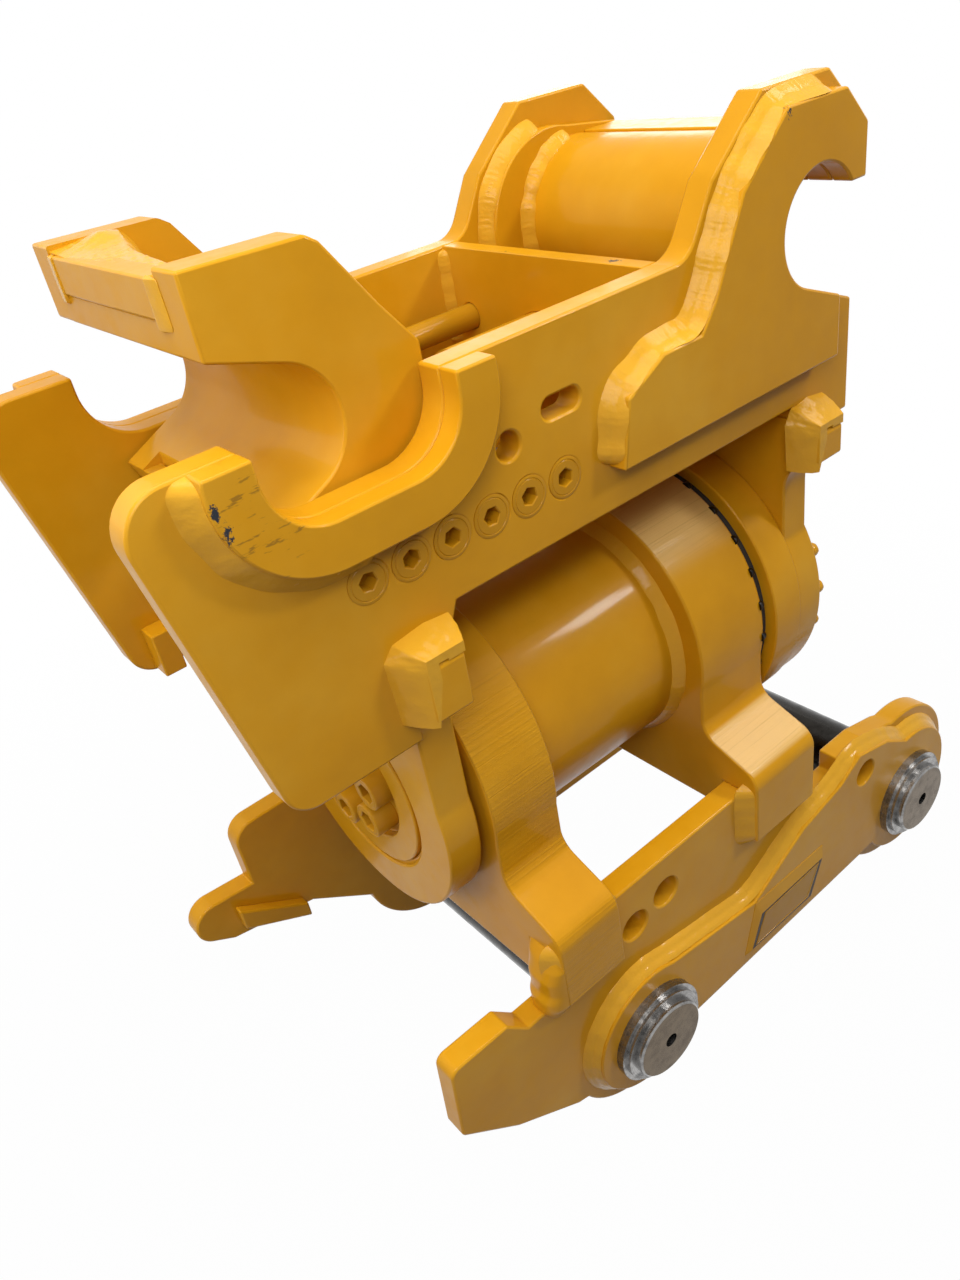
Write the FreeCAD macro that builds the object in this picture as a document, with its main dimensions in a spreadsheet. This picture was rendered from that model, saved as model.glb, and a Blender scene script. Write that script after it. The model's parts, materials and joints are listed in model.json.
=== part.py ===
import FreeCAD, Part
import math
import operator
import os
import Sketcher

# Tilting quick coupler for an excavator: a pin-on bracket, a tilting frame with a fixed hook,
# and a sliding lock hook that is driven by a cylinder inside the frame.
# X runs along the tilt axis towards the fixed hook, Y across the stick, Z up.
# The origin is on the axis of the front machine pin, midway between the cheeks.

# Driving sizes: millimetres and degrees
SIZES = {
    # Machine pins, bushes and rings
    "stick_gap": 357,
    "pin_radius": 45,
    "pin_spacing": 475,
    "pin_proud": 8.7,
    "pin_tap_radius": 8,
    "pin_tap_depth": 35,
    "pin_chamfer": 2,
    "pin_relief_setback": 3,
    "pin_relief_width": 5,
    "pin_relief_depth": 0.8,
    "running_clearance": 0.05,
    "joint_gap": 0.3,
    "bush_radius": 52,
    "bush_flange_radius": 58,
    "bush_flange_thick": 9,
    "lock_ring_radius": 53,
    "lock_ring_thick": 5,
    "collar_radius": 57,
    "collar_thick": 13.5,
    # Bracket cheeks
    "cheek_thick": 25.5,
    "cheek_top": 203,
    "cheek_underside": 75,
    "cheek_shoulder": 108,
    "cheek_step": 132,
    "cheek_step_setback": 130,
    "cheek_step_length": 50,
    "front_boss_radius": 100,
    "rear_boss_radius": 107,
    "rear_boss_rise": 7,
    "rear_boss_chin_setback": 26,
    "rear_boss_chin_height": 118,
    "horn_end": 236,
    "near_horn_flank": 178,
    "near_horn_flank_height": 8.5,
    "near_horn_toe": 102,
    "near_horn_toe_drop": 42,
    "far_horn_flank": 175,
    "far_horn_flank_height": 41,
    "far_horn_toe": 100,
    "far_horn_toe_drop": 14,
    "near_horn_reach": 237.5,
    "near_horn_corner": 64,
    "near_horn_corner_radius": 6,
    "near_horn_notch": 131,
    "near_horn_notch_start": 143,
    "near_horn_peak": 155.5,
    "near_horn_peak_radius": 11,
    "near_horn_peak_start": 165,
    "near_horn_peak_end": 232,
    "far_horn_waist": 121,
    "far_lobe_reach": 288.5,
    "far_lobe_height": 99.5,
    "far_lobe_radius": 26,
    "far_lobe_foot": 278,
    "far_lobe_foot_height": 62.5,
    "far_lobe_side": 303,
    "far_lobe_side_height": 78,
    "horn_corner_radius": 25,
    "lift_hole_radius": 17,
    "lift_hole_reach": 4,
    "lift_hole_height": 143.5,
    "second_hole_reach": 50,
    "second_hole_height": 154.7,
    "boss_hole_setback": 97,
    "boss_hole_height": 98,
    # Long boss plates on the outside of the cheeks
    "boss_plate_thick": 17,
    "boss_plate_front_radius": 78,
    "boss_plate_front_rise": 2.5,
    "boss_plate_rear_radius": 84,
    "boss_plate_rear_rise": 6,
    "boss_plate_dip": 49,
    "boss_plate_dip_at": 170,
    "boss_plate_rise": 96,
    "boss_plate_rise_setback": 217,
    "boss_plate_ramp": 112,
    "boss_plate_ramp_setback": 147,
    "boss_plate_crest": 133,
    "boss_plate_crest_setback": 111,
    "boss_plate_fall": 117,
    "boss_plate_fall_setback": 52,
    "boss_plate_underside": 38,
    "name_pad_start": 162,
    "name_pad_length": 131,
    "name_pad_height": 51,
    "name_pad_lean": 12,
    "name_pad_thick": 3,
    # Feet, tube and rotary actuator
    "tilt_height": 335,
    "tube_radius": 127,
    "foot_radius": 157,
    "foot_neck": 154,
    "foot_neck_height": 255,
    "foot_shoulder": 228,
    "foot_lip_thick": 18,
    "foot_lip_height": 140,
    "left_foot_underside": 148,
    "right_foot_underside": 164,
    "foot_shoulder_radius": 24,
    "left_foot_start": -105,
    "left_foot_thick": 75,
    "right_foot_start": 174,
    "right_foot_thick": 98,
    "housing_bore": 105,
    "bearing_length": 40,
    "shaft_radius": 70,
    "piston_length": 120,
    "piston_wall_gap": 0.4,
    "left_gap": 9,
    "right_gap": 10,
    "left_seal_radius": 122,
    "right_seal_radius": 152,
    "hub_radius": 166,
    "hub_thick": 42,
    "end_cap_radius": 98,
    "end_cap_recess_radius": 70,
    "end_cap_recess_depth": 10,
    "end_cap_groove": 5,
    "cap_screw_count": 6,
    "cap_screw_circle": 45,
    "cap_screw_first": -73,
    "cap_screw_head_radius": 18,
    "cap_screw_head": 24,
    "cap_screw_radius": 12,
    "cap_screw_grip": 40,
    "bolt_clearance": 0.5,
    "ear_bolt_count": 22,
    "ear_bolt_circle": 154,
    "ear_bolt_first": 113,
    "ear_bolt_head_radius": 9,
    "ear_bolt_head": 11,
    # Ear plates that carry the tilting frame
    "left_ear_thick": 36,
    "left_ear_radius": 147,
    "left_ear_tab_depth": 58,
    "right_ear_thick": 37,
    "right_ear_radius": 164,
    "right_ear_tab_depth": 40,
    "ear_neck": 143,
    "ear_tab_proud": 27,
    "ear_top": 548,
    "ear_tab_chamfer": 12,
    "ear_tab_fillet": 38,
    # Tilting frame side plates
    "frame_gap": 261,
    "side_thick": 25,
    "side_rise": 11,
    "side_left": -316,
    "side_left_foot": -268,
    "side_lobe_bottom": 461,
    "side_bottom": 562,
    "side_toe": 540,
    "side_toe_length": 10,
    "side_right": 408,
    "side_leg_bottom": 531,
    "side_left_corner": 32,
    "side_lobe_corner": 25,
    "tower_rise": 115,
    "tower_start": 276,
    "tower_slope_end": 213,
    "tower_slope_rise": 62,
    "tower_foot": 183,
    "tower_foot_radius": 30,
    "nose_reach": 406,
    "nose_rise": 77,
    "nose_top_start": 365,
    "slot_start": 22,
    "slot_end": 44,
    "slot_drop": 64,
    "slot_radius": 9,
    "side_hole_x": -23,
    "side_hole_drop": 77,
    "side_hole_radius": 11.5,
    "saddle_end": -118,
    "doubler_thick": 20,
    "saddle_doubler_radius": 82,
    # Fixed hook
    "mouth_x": 330,
    "mouth_height": 725,
    "mouth_radius": 50,
    "mouth_lip_slope": 21.2,
    "mouth_roof": 26,
    "mouth_reach": 150,
    "hook_doubler_inset": 14,
    "hook_doubler_left": 74,
    "hook_doubler_bottom": 603,
    "hook_doubler_ramp_start": 85,
    "hook_doubler_ramp_drop": 76,
    "hook_doubler_ramp_end": 127,
    "hook_doubler_shelf_drop": 54,
    "hook_doubler_shelf_end": 172,
    "hook_doubler_leg": 361,
    "mouth_doubler_thick": 15,
    "mouth_doubler_radius": 88,
    "mouth_doubler_setback": 30,
    "liner_radius": 75,
    "guide_plate_start": 345,
    "guide_plate_end": 393,
    "guide_plate_rise": 76,
    "guide_plate_thick": 24,
    # Cross members and guide rails
    "cross_plate_start": 155,
    "cross_plate_thick": 18,
    "floor_thick": 20,
    "rail_start": -185,
    "rail_length": 235,
    "rail_width": 42.5,
    "rail_rise": 29.5,
    "rail_thick": 30,
    "rail_screw_inset": 22,
    "rail_screw_count": 6,
    "rail_screw_radius": 10,
    "rail_screw_head_radius": 18,
    "rail_screw_head": 8,
    "rail_screw_length": 60,
    "stop_lug_start": -253,
    "stop_lug_width": 21,
    "stop_lug_low": 464,
    "stop_lug_height": 44,
    "stop_lug_thick": 25,
    # Lock hook
    "throat_x": -181,
    "throat_drop": 3,
    "throat_radius": 46,
    "throat_lip_slope": 25.5,
    "throat_roof_slope": 17.8,
    "throat_reach": 82,
    "lock_plate_inner": 94,
    "lock_plate_thick": 33,
    "lock_back": -63,
    "lock_back_rise": 26,
    "lock_shoulder": -88,
    "lock_shoulder_rise": 58,
    "lock_top_rise": 113,
    "lock_top_end": -122,
    "lock_top_fall": 6,
    "lock_top_start": -131,
    "lock_nose": -219,
    "lock_nose_rise": 115,
    "lock_tip": -210,
    "lock_tip_drop": 65,
    "lock_lip_foot": -204,
    "lock_lip_drop": 81,
    "lock_heel": -190,
    "slide_gap": 0.5,
    "throat_plate_thick": 20,
    "throat_plate_end": -192,
    "nose_plate_thick": 20,
    "nose_plate_width": 168,
    "nose_plate_high_rise": 109,
    "nose_plate_proud": 2,
    "lip_plate_back": -194,
    "guide_rod_radius": 12.5,
    "guide_rod_y": 102,
    "guide_rod_rise": 123,
    "guide_rod_end": 162,
    "shoe_start": -150,
    "shoe_length": 130,
    "shoe_flange_reach": 118,
    "shoe_flange_thick": 13,
    "shoe_wall_inner": 62,
    "shoe_weld_step": 4,
    "shoe_floor_thick": 17,
    # Lock cylinder
    "cylinder_rise": 100,
    "barrel_start": 50,
    "barrel_length": 200,
    "barrel_radius": 38,
    "barrel_bore": 30,
    "barrel_end_thick": 14,
    "barrel_flange_radius": 54,
    "barrel_flange_thick": 12,
    "rod_radius": 20,
    "rod_eye_x": -88,
    "rod_eye_radius": 26,
    "rod_eye_width": 44,
    "clevis_pin_radius": 15,
    "rod_piston_length": 30,
    "rod_piston_start": 75,
    # Stop bar on the far cheek
    "stop_bar_thick": 14,
    "stop_bar_start": -265,
    "stop_bar_end": -186,
    "stop_bar_low_start": 77,
    "stop_bar_low_end": 34,
    "stop_bar_start_width": 30,
    "stop_bar_end_width": 22,
}

doc = FreeCAD.newDocument("tilting_quick_coupler")
sheet = doc.addObject("Spreadsheet::Sheet", "Sizes")
for row, (alias, number) in enumerate(SIZES.items(), start=1):
    sheet.set(f"A{row}", alias)
    sheet.set(f"B{row}", str(number))
    sheet.setAlias(f"B{row}", alias)
doc.recompute()


class Size:
    """A size as a number, with the sheet formula that it follows."""

    def __init__(self, number, formula):
        self.number = float(number)
        self.formula = formula

    def __add__(self, other):
        return combined(self, "+", other)

    def __radd__(self, other):
        return combined(other, "+", self)

    def __sub__(self, other):
        return combined(self, "-", other)

    def __rsub__(self, other):
        return combined(other, "-", self)

    def __mul__(self, other):
        return combined(self, "*", other)

    def __rmul__(self, other):
        return combined(other, "*", self)

    def __truediv__(self, other):
        return combined(self, "/", other)

    def __neg__(self):
        return Size(-self.number, f"(-{self.formula})")


ACTIONS = {"+": operator.add, "-": operator.sub, "*": operator.mul, "/": operator.truediv}


def sized(size):
    """Any number as a Size."""
    return size if isinstance(size, Size) else Size(size, f"({float(size)})")


def combined(left, sign, right):
    """Two sizes joined by an arithmetic sign."""
    left, right = sized(left), sized(right)
    number = ACTIONS[sign](left.number, right.number)
    return Size(number, f"({left.formula} {sign} {right.formula})")


def sine(angle):
    angle = sized(angle)
    return Size(math.sin(math.radians(angle.number)), f"sin({angle.formula} * 1deg)")


def cosine(angle):
    angle = sized(angle)
    return Size(math.cos(math.radians(angle.number)), f"cos({angle.formula} * 1deg)")


class Sheet:
    """Gives each named size of the sheet as a Size."""

    def __getattr__(self, name):
        return Size(SIZES[name], f"Sizes.{name}")


S = Sheet()


def tie(thing, field, size):
    """Binds a property to the sheet."""
    if isinstance(size, Size) or size:
        thing.setExpression(field, sized(size).formula)


def hold(sketch, rules):
    """Adds sketch constraints, given as (kind, places, size or None), and binds their sizes."""
    first = sketch.ConstraintCount
    made = []
    for kind, places, size in rules:
        numbers = [] if size is None else [sized(size).number]
        made.append(Sketcher.Constraint(kind, *places, *numbers))
    sketch.addConstraint(made)
    for index, (kind, places, size) in enumerate(rules, start=first):
        if isinstance(size, Size):
            sketch.setExpression(f"Constraints[{index}]", size.formula)


def at(geometry, point, u, v):
    """Rules that hold one point of a sketch line or arc at (u, v)."""
    return [
        ("DistanceX", (-1, 1, geometry, point), u),
        ("DistanceY", (-1, 1, geometry, point), v),
    ]


def flat(u, v):
    return FreeCAD.Vector(sized(u).number, sized(v).number, 0)


class Outline:
    """Closed outline of straight runs through its corners."""

    def __init__(self, *corners):
        self.corners = corners

    def draw(self, sketch):
        first = sketch.GeometryCount
        count = len(self.corners)
        points = [flat(*corner) for corner in self.corners]
        sides = [Part.LineSegment(points[i], points[(i + 1) % count]) for i in range(count)]
        sketch.addGeometry(sides, False)
        rules = []
        for i, corner in enumerate(self.corners):
            rules.append(("Coincident", (first + i, 2, first + (i + 1) % count, 1), None))
            rules += at(first + i, 1, *corner)
        hold(sketch, rules)


class Circle:
    """Full circle."""

    def __init__(self, u, v, radius):
        self.centre = (u, v)
        self.radius = radius

    def draw(self, sketch):
        index = sketch.GeometryCount
        normal = FreeCAD.Vector(0, 0, 1)
        sketch.addGeometry(Part.Circle(flat(*self.centre), normal, sized(self.radius).number), False)
        hold(sketch, at(index, 3, *self.centre) + [("Radius", (index,), self.radius)])


class Slot:
    """Two half circles at one height, joined by straight tangents."""

    def __init__(self, start, end, v, radius):
        self.start, self.end, self.v, self.radius = start, end, v, radius

    def draw(self, sketch):
        first = sketch.GeometryCount
        left, right, below, above = first, first + 1, first + 2, first + 3
        radius = sized(self.radius).number
        quarter = math.pi / 2
        normal = FreeCAD.Vector(0, 0, 1)
        centres = [flat(self.start, self.v), flat(self.end, self.v)]
        drop = FreeCAD.Vector(0, radius, 0)
        sketch.addGeometry([
            Part.ArcOfCircle(Part.Circle(centres[0], normal, radius), quarter, 3 * quarter),
            Part.ArcOfCircle(Part.Circle(centres[1], normal, radius), -quarter, quarter),
            Part.LineSegment(centres[0] - drop, centres[1] - drop),
            Part.LineSegment(centres[1] + drop, centres[0] + drop),
        ], False)
        rules = [
            ("Tangent", (left, 2, below, 1), None),
            ("Tangent", (below, 2, right, 1), None),
            ("Tangent", (right, 2, above, 1), None),
            ("Tangent", (above, 2, left, 1), None),
            ("Radius", (left,), self.radius),
            ("Radius", (right,), self.radius),
        ]
        rules += at(left, 3, self.start, self.v)
        rules += at(right, 3, self.end, self.v)
        hold(sketch, rules)


PIECES = []


class Piece:
    """One named sub-part, drawn as flat outlines on a plane of its own.

    An outline on the XZ plane grows towards -Y, one on YZ towards +X and one on XY towards +Z.
    """

    def __init__(self, name, plane, x=0, y=0, z=0):
        self.body = doc.addObject("PartDesign::Body", name)
        self.body.Label = name
        self.plane = plane
        for axis, size in (("x", x), ("y", y), ("z", z)):
            tie(self.body, f"Placement.Base.{axis}", size)
        PIECES.append(self.body)

    def sketch(self, shapes, lift):
        sketch = self.body.newObject("Sketcher::SketchObject", self.body.Name + "_sketch")
        planes = self.body.Origin.OriginFeatures
        plane = next(item for item in planes if item.Role == self.plane + "_Plane")
        sketch.AttachmentSupport = [(plane, "")]
        sketch.MapMode = "FlatFace"
        tie(sketch, "AttachmentOffset.Base.z", lift)
        for shape in shapes:
            shape.draw(sketch)
        return sketch

    def volume(self):
        return self.body.Shape.Volume if self.body.Tip else 0.0

    def feature(self, kind, shapes, lift):
        feature = self.body.newObject("PartDesign::" + kind, f"{self.body.Name}_{kind.lower()}")
        feature.Profile = self.sketch(shapes, lift)
        return feature

    def settle(self, before, grows):
        """Recomputes, and makes sure that the last feature added or took material."""
        doc.recompute()
        change = self.volume() - before
        if (change > 0) != grows or abs(change) < 1:
            raise ValueError(f"{self.body.Label}: the last feature changed nothing")

    def add(self, length, *shapes, lift=0, back=False, taper=0):
        before = self.volume()
        pad = self.feature("Pad", shapes, lift)
        tie(pad, "Length", length)
        pad.Reversed = back
        tie(pad, "TaperAngle", taper)
        self.settle(before, True)
        return self

    def cut(self, *shapes, depth=None, lift=0, back=False, taper=0):
        before = self.volume()
        pocket = self.feature("Pocket", shapes, lift)
        pocket.Type = "ThroughAll" if depth is None else "Length"
        tie(pocket, "Length", depth or 0)
        pocket.Reversed = not back
        tie(pocket, "TaperAngle", taper)
        self.settle(before, False)
        return self

    def spin(self, *shapes):
        """Turns outlines, drawn as (along, radius), round the plane's first axis."""
        before = self.volume()
        turn = self.feature("Revolution", shapes, 0)
        turn.ReferenceAxis = (turn.Profile[0], ["H_Axis"])
        turn.Angle = 360
        self.settle(before, True)
        return self

    def flatten(self, point):
        axes = {"XZ": (point.x, point.z), "YZ": (point.y, point.z), "XY": (point.x, point.y)}
        return axes[self.plane]

    def round(self, radius, *corners):
        """Rounds the upright edges that stand on the given corners of the outline."""
        tip = self.body.Tip
        names = []
        for corner in corners:
            u, v = sized(corner[0]).number, sized(corner[1]).number
            found = []
            for index, edge in enumerate(tip.Shape.Edges, start=1):
                ends = [self.flatten(vertex.Point) for vertex in edge.Vertexes]
                if len(ends) == 2 and all(math.dist(end, (u, v)) < 0.01 for end in ends):
                    found.append(f"Edge{index}")
            if not found:
                raise ValueError(f"{self.body.Label}: no edge to round at {u:.1f}, {v:.1f}")
            names += found
        fillet = self.body.newObject("PartDesign::Fillet", self.body.Name + "_fillet")
        fillet.Base = (tip, names)
        tie(fillet, "Radius", radius)
        doc.recompute()
        return self

    def twin(self, name):
        """Mirror image on the other side of the middle plane."""
        mirror = doc.addObject("Part::Mirroring", name)
        mirror.Label = name
        mirror.Source = self.body
        mirror.Normal = FreeCAD.Vector(0, 1, 0)
        PIECES.append(mirror)
        return mirror


def box(left, right, low, high):
    """Rectangle between two uprights and two levels."""
    return Outline((left, low), (right, low), (right, high), (left, high))


def ring_of(count, circle, first, make):
    """Shapes spaced evenly round the tilt axis, made by make(y, z)."""
    steps = int(count.number)
    angles = [first + 360.0 / steps * step for step in range(steps)]
    return [make(circle * cosine(angle), S.tilt_height + circle * sine(angle)) for angle in angles]


def hexagon(u, v, reach):
    """Six-sided head with its corners at the given reach."""
    corners = range(0, 360, 60)
    return Outline(*[(u + reach * cosine(angle), v + reach * sine(angle)) for angle in corners])


# Levels and faces that several pieces share
cheek_inner = S.stick_gap / 2
cheek_outer = cheek_inner + S.cheek_thick
boss_outer = cheek_outer + S.boss_plate_thick
flange_outer = boss_outer + S.bush_flange_thick
ring_outer = flange_outer + S.lock_ring_thick
pin_end = ring_outer + S.pin_proud
bush_bore = S.pin_radius + S.running_clearance
left_foot_end = S.left_foot_start + S.left_foot_thick
right_foot_end = S.right_foot_start + S.right_foot_thick
hub_start = right_foot_end + S.right_gap
hub_end = hub_start + S.hub_thick
left_ear_end = S.left_foot_start - S.left_gap
left_ear_start = left_ear_end - S.left_ear_thick
right_ear_end = hub_end + S.right_ear_thick
side_inner = S.frame_gap / 2
side_outer = side_inner + S.side_thick
doubler_outer = side_outer + S.doubler_thick
mouth_doubler_inner = side_inner - S.mouth_doubler_thick
side_top = S.mouth_height + S.side_rise
tower_top = S.mouth_height + S.tower_rise
nose_height = S.mouth_height + S.nose_rise
guide_plate_top = S.mouth_height + S.guide_plate_rise
throat_height = S.mouth_height - S.throat_drop
lock_tip_height = throat_height - S.lock_tip_drop
lock_lip_bottom = throat_height - S.lock_lip_drop
floor_top = S.ear_top + S.floor_thick
rail_low = floor_top + S.rail_rise
rail_top = rail_low + S.rail_thick
slide_level = rail_top + S.slide_gap
guide_rod_height = S.ear_top + S.guide_rod_rise
cylinder_height = S.ear_top + S.cylinder_rise
lock_plate_outer = S.lock_plate_inner + S.lock_plate_thick


# Machine pins, with their bushes and rings
def pin_pieces(end, x):
    """Pin, flanged bushes and rings of one machine pin.

    Two shallow relief grooves mark off the stretch of the pin that the stick turns on.
    """
    pin = Piece(f"{end}_pin", "YZ", x=x)
    rim = S.pin_radius - S.pin_chamfer
    relief_end = cheek_inner - S.collar_thick - S.pin_relief_setback
    relief_start = relief_end - S.pin_relief_width
    relief_floor = S.pin_radius - S.pin_relief_depth
    pin.spin(Outline(
        (-pin_end, S.pin_tap_radius),
        (-pin_end, rim),
        (-pin_end + S.pin_chamfer, S.pin_radius),
        (-relief_end, S.pin_radius),
        (-relief_end, relief_floor),
        (-relief_start, relief_floor),
        (-relief_start, S.pin_radius),
        (relief_start, S.pin_radius),
        (relief_start, relief_floor),
        (relief_end, relief_floor),
        (relief_end, S.pin_radius),
        (pin_end - S.pin_chamfer, S.pin_radius),
        (pin_end, rim),
        (pin_end, S.pin_tap_radius),
        (pin_end - S.pin_tap_depth, S.pin_tap_radius),
        (pin_end - S.pin_tap_depth, 0),
        (-pin_end + S.pin_tap_depth, 0),
        (-pin_end + S.pin_tap_depth, S.pin_tap_radius),
    ))
    bushes = Piece(f"{end}_pin_bushes", "YZ", x=x)
    rings = Piece(f"{end}_pin_rings", "YZ", x=x)
    collars = Piece(f"{end}_pin_collars", "YZ", x=x)
    bush_halves, ring_halves, collar_halves = [], [], []
    for side in (-1, 1):
        bush_halves.append(Outline(
            (side * cheek_inner, bush_bore),
            (side * flange_outer, bush_bore),
            (side * flange_outer, S.bush_flange_radius),
            (side * boss_outer, S.bush_flange_radius),
            (side * boss_outer, S.bush_radius),
            (side * cheek_inner, S.bush_radius),
        ))
        ring_halves.append(Outline(
            (side * flange_outer, bush_bore),
            (side * ring_outer, bush_bore),
            (side * ring_outer, S.lock_ring_radius),
            (side * flange_outer, S.lock_ring_radius),
        ))
        collar_halves.append(Outline(
            (side * (cheek_inner - S.collar_thick), bush_bore),
            (side * cheek_inner, bush_bore),
            (side * cheek_inner, S.collar_radius),
            (side * (cheek_inner - S.collar_thick), S.collar_radius),
        ))
    bushes.spin(*bush_halves)
    rings.spin(*ring_halves)
    collars.spin(*collar_halves)


pin_pieces("front", 0)
pin_pieces("rear", S.pin_spacing)


# Bracket cheeks: one body outline, with a different horn on each side
def cheek(name, place, horn):
    """One cheek: two bosses under a flat top, with the horn's corners at the left."""
    cheek_step_start = S.pin_spacing - S.cheek_step_setback
    cheek_step_end = cheek_step_start + S.cheek_step_length
    piece = Piece(name, "XZ", y=place)
    piece.add(S.cheek_thick, Outline(
        (right_foot_end, S.cheek_top),
        (right_foot_end, S.cheek_shoulder),
        (cheek_step_start, S.cheek_shoulder),
        (cheek_step_start, S.cheek_step),
        (cheek_step_end, S.cheek_step),
        (S.pin_spacing - S.rear_boss_chin_setback, S.rear_boss_chin_height),
        (S.pin_spacing, S.rear_boss_radius),
        (S.pin_spacing, -S.cheek_underside),
        (0, -S.cheek_underside),
        *horn,
    ))
    piece.add(S.cheek_thick, Circle(0, 0, S.front_boss_radius))
    piece.add(S.cheek_thick, Circle(S.pin_spacing, S.rear_boss_rise, S.rear_boss_radius))
    return piece


def cheek_holes(piece):
    """Bush seats, the two lifting holes and the hole behind the rear boss."""
    piece.cut(
        Circle(0, 0, S.bush_radius),
        Circle(S.pin_spacing, 0, S.bush_radius),
        Circle(S.lift_hole_reach, S.lift_hole_height, S.lift_hole_radius),
        Circle(S.second_hole_reach, S.second_hole_height, S.lift_hole_radius),
        Circle(S.pin_spacing - S.boss_hole_setback, S.boss_hole_height, S.lift_hole_radius),
    )


near_horn_end = (-S.near_horn_reach, S.near_horn_corner)
near_horn_peak = (-S.near_horn_peak_end, S.near_horn_peak)
near_horn = [
    (-S.near_horn_toe, -S.near_horn_toe_drop),
    (-S.near_horn_flank, S.near_horn_flank_height),
    near_horn_end,
    near_horn_peak,
    (-S.near_horn_peak_start, S.near_horn_peak),
    (-S.near_horn_notch_start, S.near_horn_notch),
    (S.left_foot_start, S.near_horn_notch),
    (S.left_foot_start, S.cheek_top),
]
near_cheek = cheek("near_cheek", -cheek_inner, near_horn)
near_cheek.round(S.near_horn_corner_radius, near_horn_end)
near_cheek.round(S.near_horn_peak_radius, near_horn_peak)
cheek_holes(near_cheek)

lobe_high = S.far_lobe_height + S.far_lobe_radius
far_corner = (-S.horn_end, S.cheek_top)
far_horn = [
    (-S.far_horn_toe, -S.far_horn_toe_drop),
    (-S.far_horn_flank, S.far_horn_flank_height),
    (-S.far_lobe_foot, S.far_lobe_foot_height),
    (-S.far_lobe_side, S.far_lobe_side_height),
    (-S.far_lobe_reach, lobe_high),
    (-S.horn_end, S.far_horn_waist),
    far_corner,
]
far_cheek = cheek("far_cheek", cheek_outer, far_horn)
far_cheek.round(S.horn_corner_radius, far_corner)
far_cheek.add(S.cheek_thick, Circle(-S.far_lobe_reach, S.far_lobe_height, S.far_lobe_radius))
cheek_holes(far_cheek)

# Stop bar along the lower edge of the far horn
stop_bar = Piece("stop_bar", "XZ", y=cheek_inner)
stop_bar.add(S.stop_bar_thick, Outline(
    (S.stop_bar_start, S.stop_bar_low_start),
    (S.stop_bar_end, S.stop_bar_low_end),
    (S.stop_bar_end, S.stop_bar_low_end + S.stop_bar_end_width),
    (S.stop_bar_start, S.stop_bar_low_start + S.stop_bar_start_width),
))

# Long boss plates, welded over both bosses of each cheek
near_boss_plate = Piece("near_boss_plate", "XZ", y=-cheek_outer)
near_boss_plate.add(S.boss_plate_thick, Outline(
    (0, -S.boss_plate_underside),
    (S.pin_spacing, -S.boss_plate_underside),
    (S.pin_spacing, S.boss_plate_rear_radius),
    (S.pin_spacing - S.boss_plate_fall_setback, S.boss_plate_fall),
    (S.pin_spacing - S.boss_plate_crest_setback, S.boss_plate_crest),
    (S.pin_spacing - S.boss_plate_ramp_setback, S.boss_plate_ramp),
    (S.pin_spacing - S.boss_plate_rise_setback, S.boss_plate_rise),
    (S.boss_plate_dip_at, S.boss_plate_dip),
    (0, S.boss_plate_front_radius),
))
near_boss_plate.add(S.boss_plate_thick, Circle(0, S.boss_plate_front_rise, S.boss_plate_front_radius))
near_boss_plate.add(S.boss_plate_thick,
                    Circle(S.pin_spacing, S.boss_plate_rear_rise, S.boss_plate_rear_radius))
near_boss_plate.cut(
    Circle(0, 0, S.bush_radius),
    Circle(S.pin_spacing, 0, S.bush_radius),
    Circle(S.pin_spacing - S.boss_hole_setback, S.boss_hole_height, S.lift_hole_radius),
)
near_boss_plate.twin("far_boss_plate")

# Bare raised pad in the middle of the near boss plate
name_pad = Piece("name_pad", "XZ", y=-boss_outer)
name_pad_end = S.name_pad_start + S.name_pad_length
name_pad.add(S.name_pad_thick, Outline(
    (S.name_pad_start - S.name_pad_lean, -S.name_pad_height / 2),
    (name_pad_end - S.name_pad_lean, -S.name_pad_height / 2),
    (name_pad_end, S.name_pad_height / 2),
    (S.name_pad_start, S.name_pad_height / 2),
))


# Feet: round-topped blocks that straddle the cheeks and hold the actuator
def foot(name, start, thick, underside):
    """Foot block with slots for both cheeks, a flared skirt and the housing bore."""
    skirt = cheek_outer + S.foot_lip_thick
    piece = Piece(name, "YZ", x=start)
    piece.add(thick, Outline(
        (-S.foot_neck, S.tilt_height),
        (-S.foot_neck, S.foot_neck_height),
        (-skirt, S.foot_shoulder),
        (-skirt, S.foot_lip_height),
        (-cheek_outer, S.foot_lip_height),
        (-cheek_outer, S.cheek_top),
        (-cheek_inner, S.cheek_top),
        (-cheek_inner, underside),
        (cheek_inner, underside),
        (cheek_inner, S.cheek_top),
        (cheek_outer, S.cheek_top),
        (cheek_outer, S.foot_lip_height),
        (skirt, S.foot_lip_height),
        (skirt, S.foot_shoulder),
        (S.foot_neck, S.foot_neck_height),
        (S.foot_neck, S.tilt_height),
    ))
    piece.round(
        S.foot_shoulder_radius,
        (-S.foot_neck, S.foot_neck_height),
        (S.foot_neck, S.foot_neck_height),
        (-skirt, S.foot_shoulder),
        (skirt, S.foot_shoulder),
    )
    piece.add(thick, Circle(0, S.tilt_height, S.foot_radius))
    piece.cut(Circle(0, S.tilt_height, S.housing_bore))


foot("left_foot", S.left_foot_start, S.left_foot_thick, S.left_foot_underside)
foot("right_foot", S.right_foot_start, S.right_foot_thick, S.right_foot_underside)


def sleeve(name, start, end, inner, outer):
    """Plain ring round the tilt axis."""
    piece = Piece(name, "XZ", z=S.tilt_height)
    piece.spin(box(start, end, inner, outer))
    return piece


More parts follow.
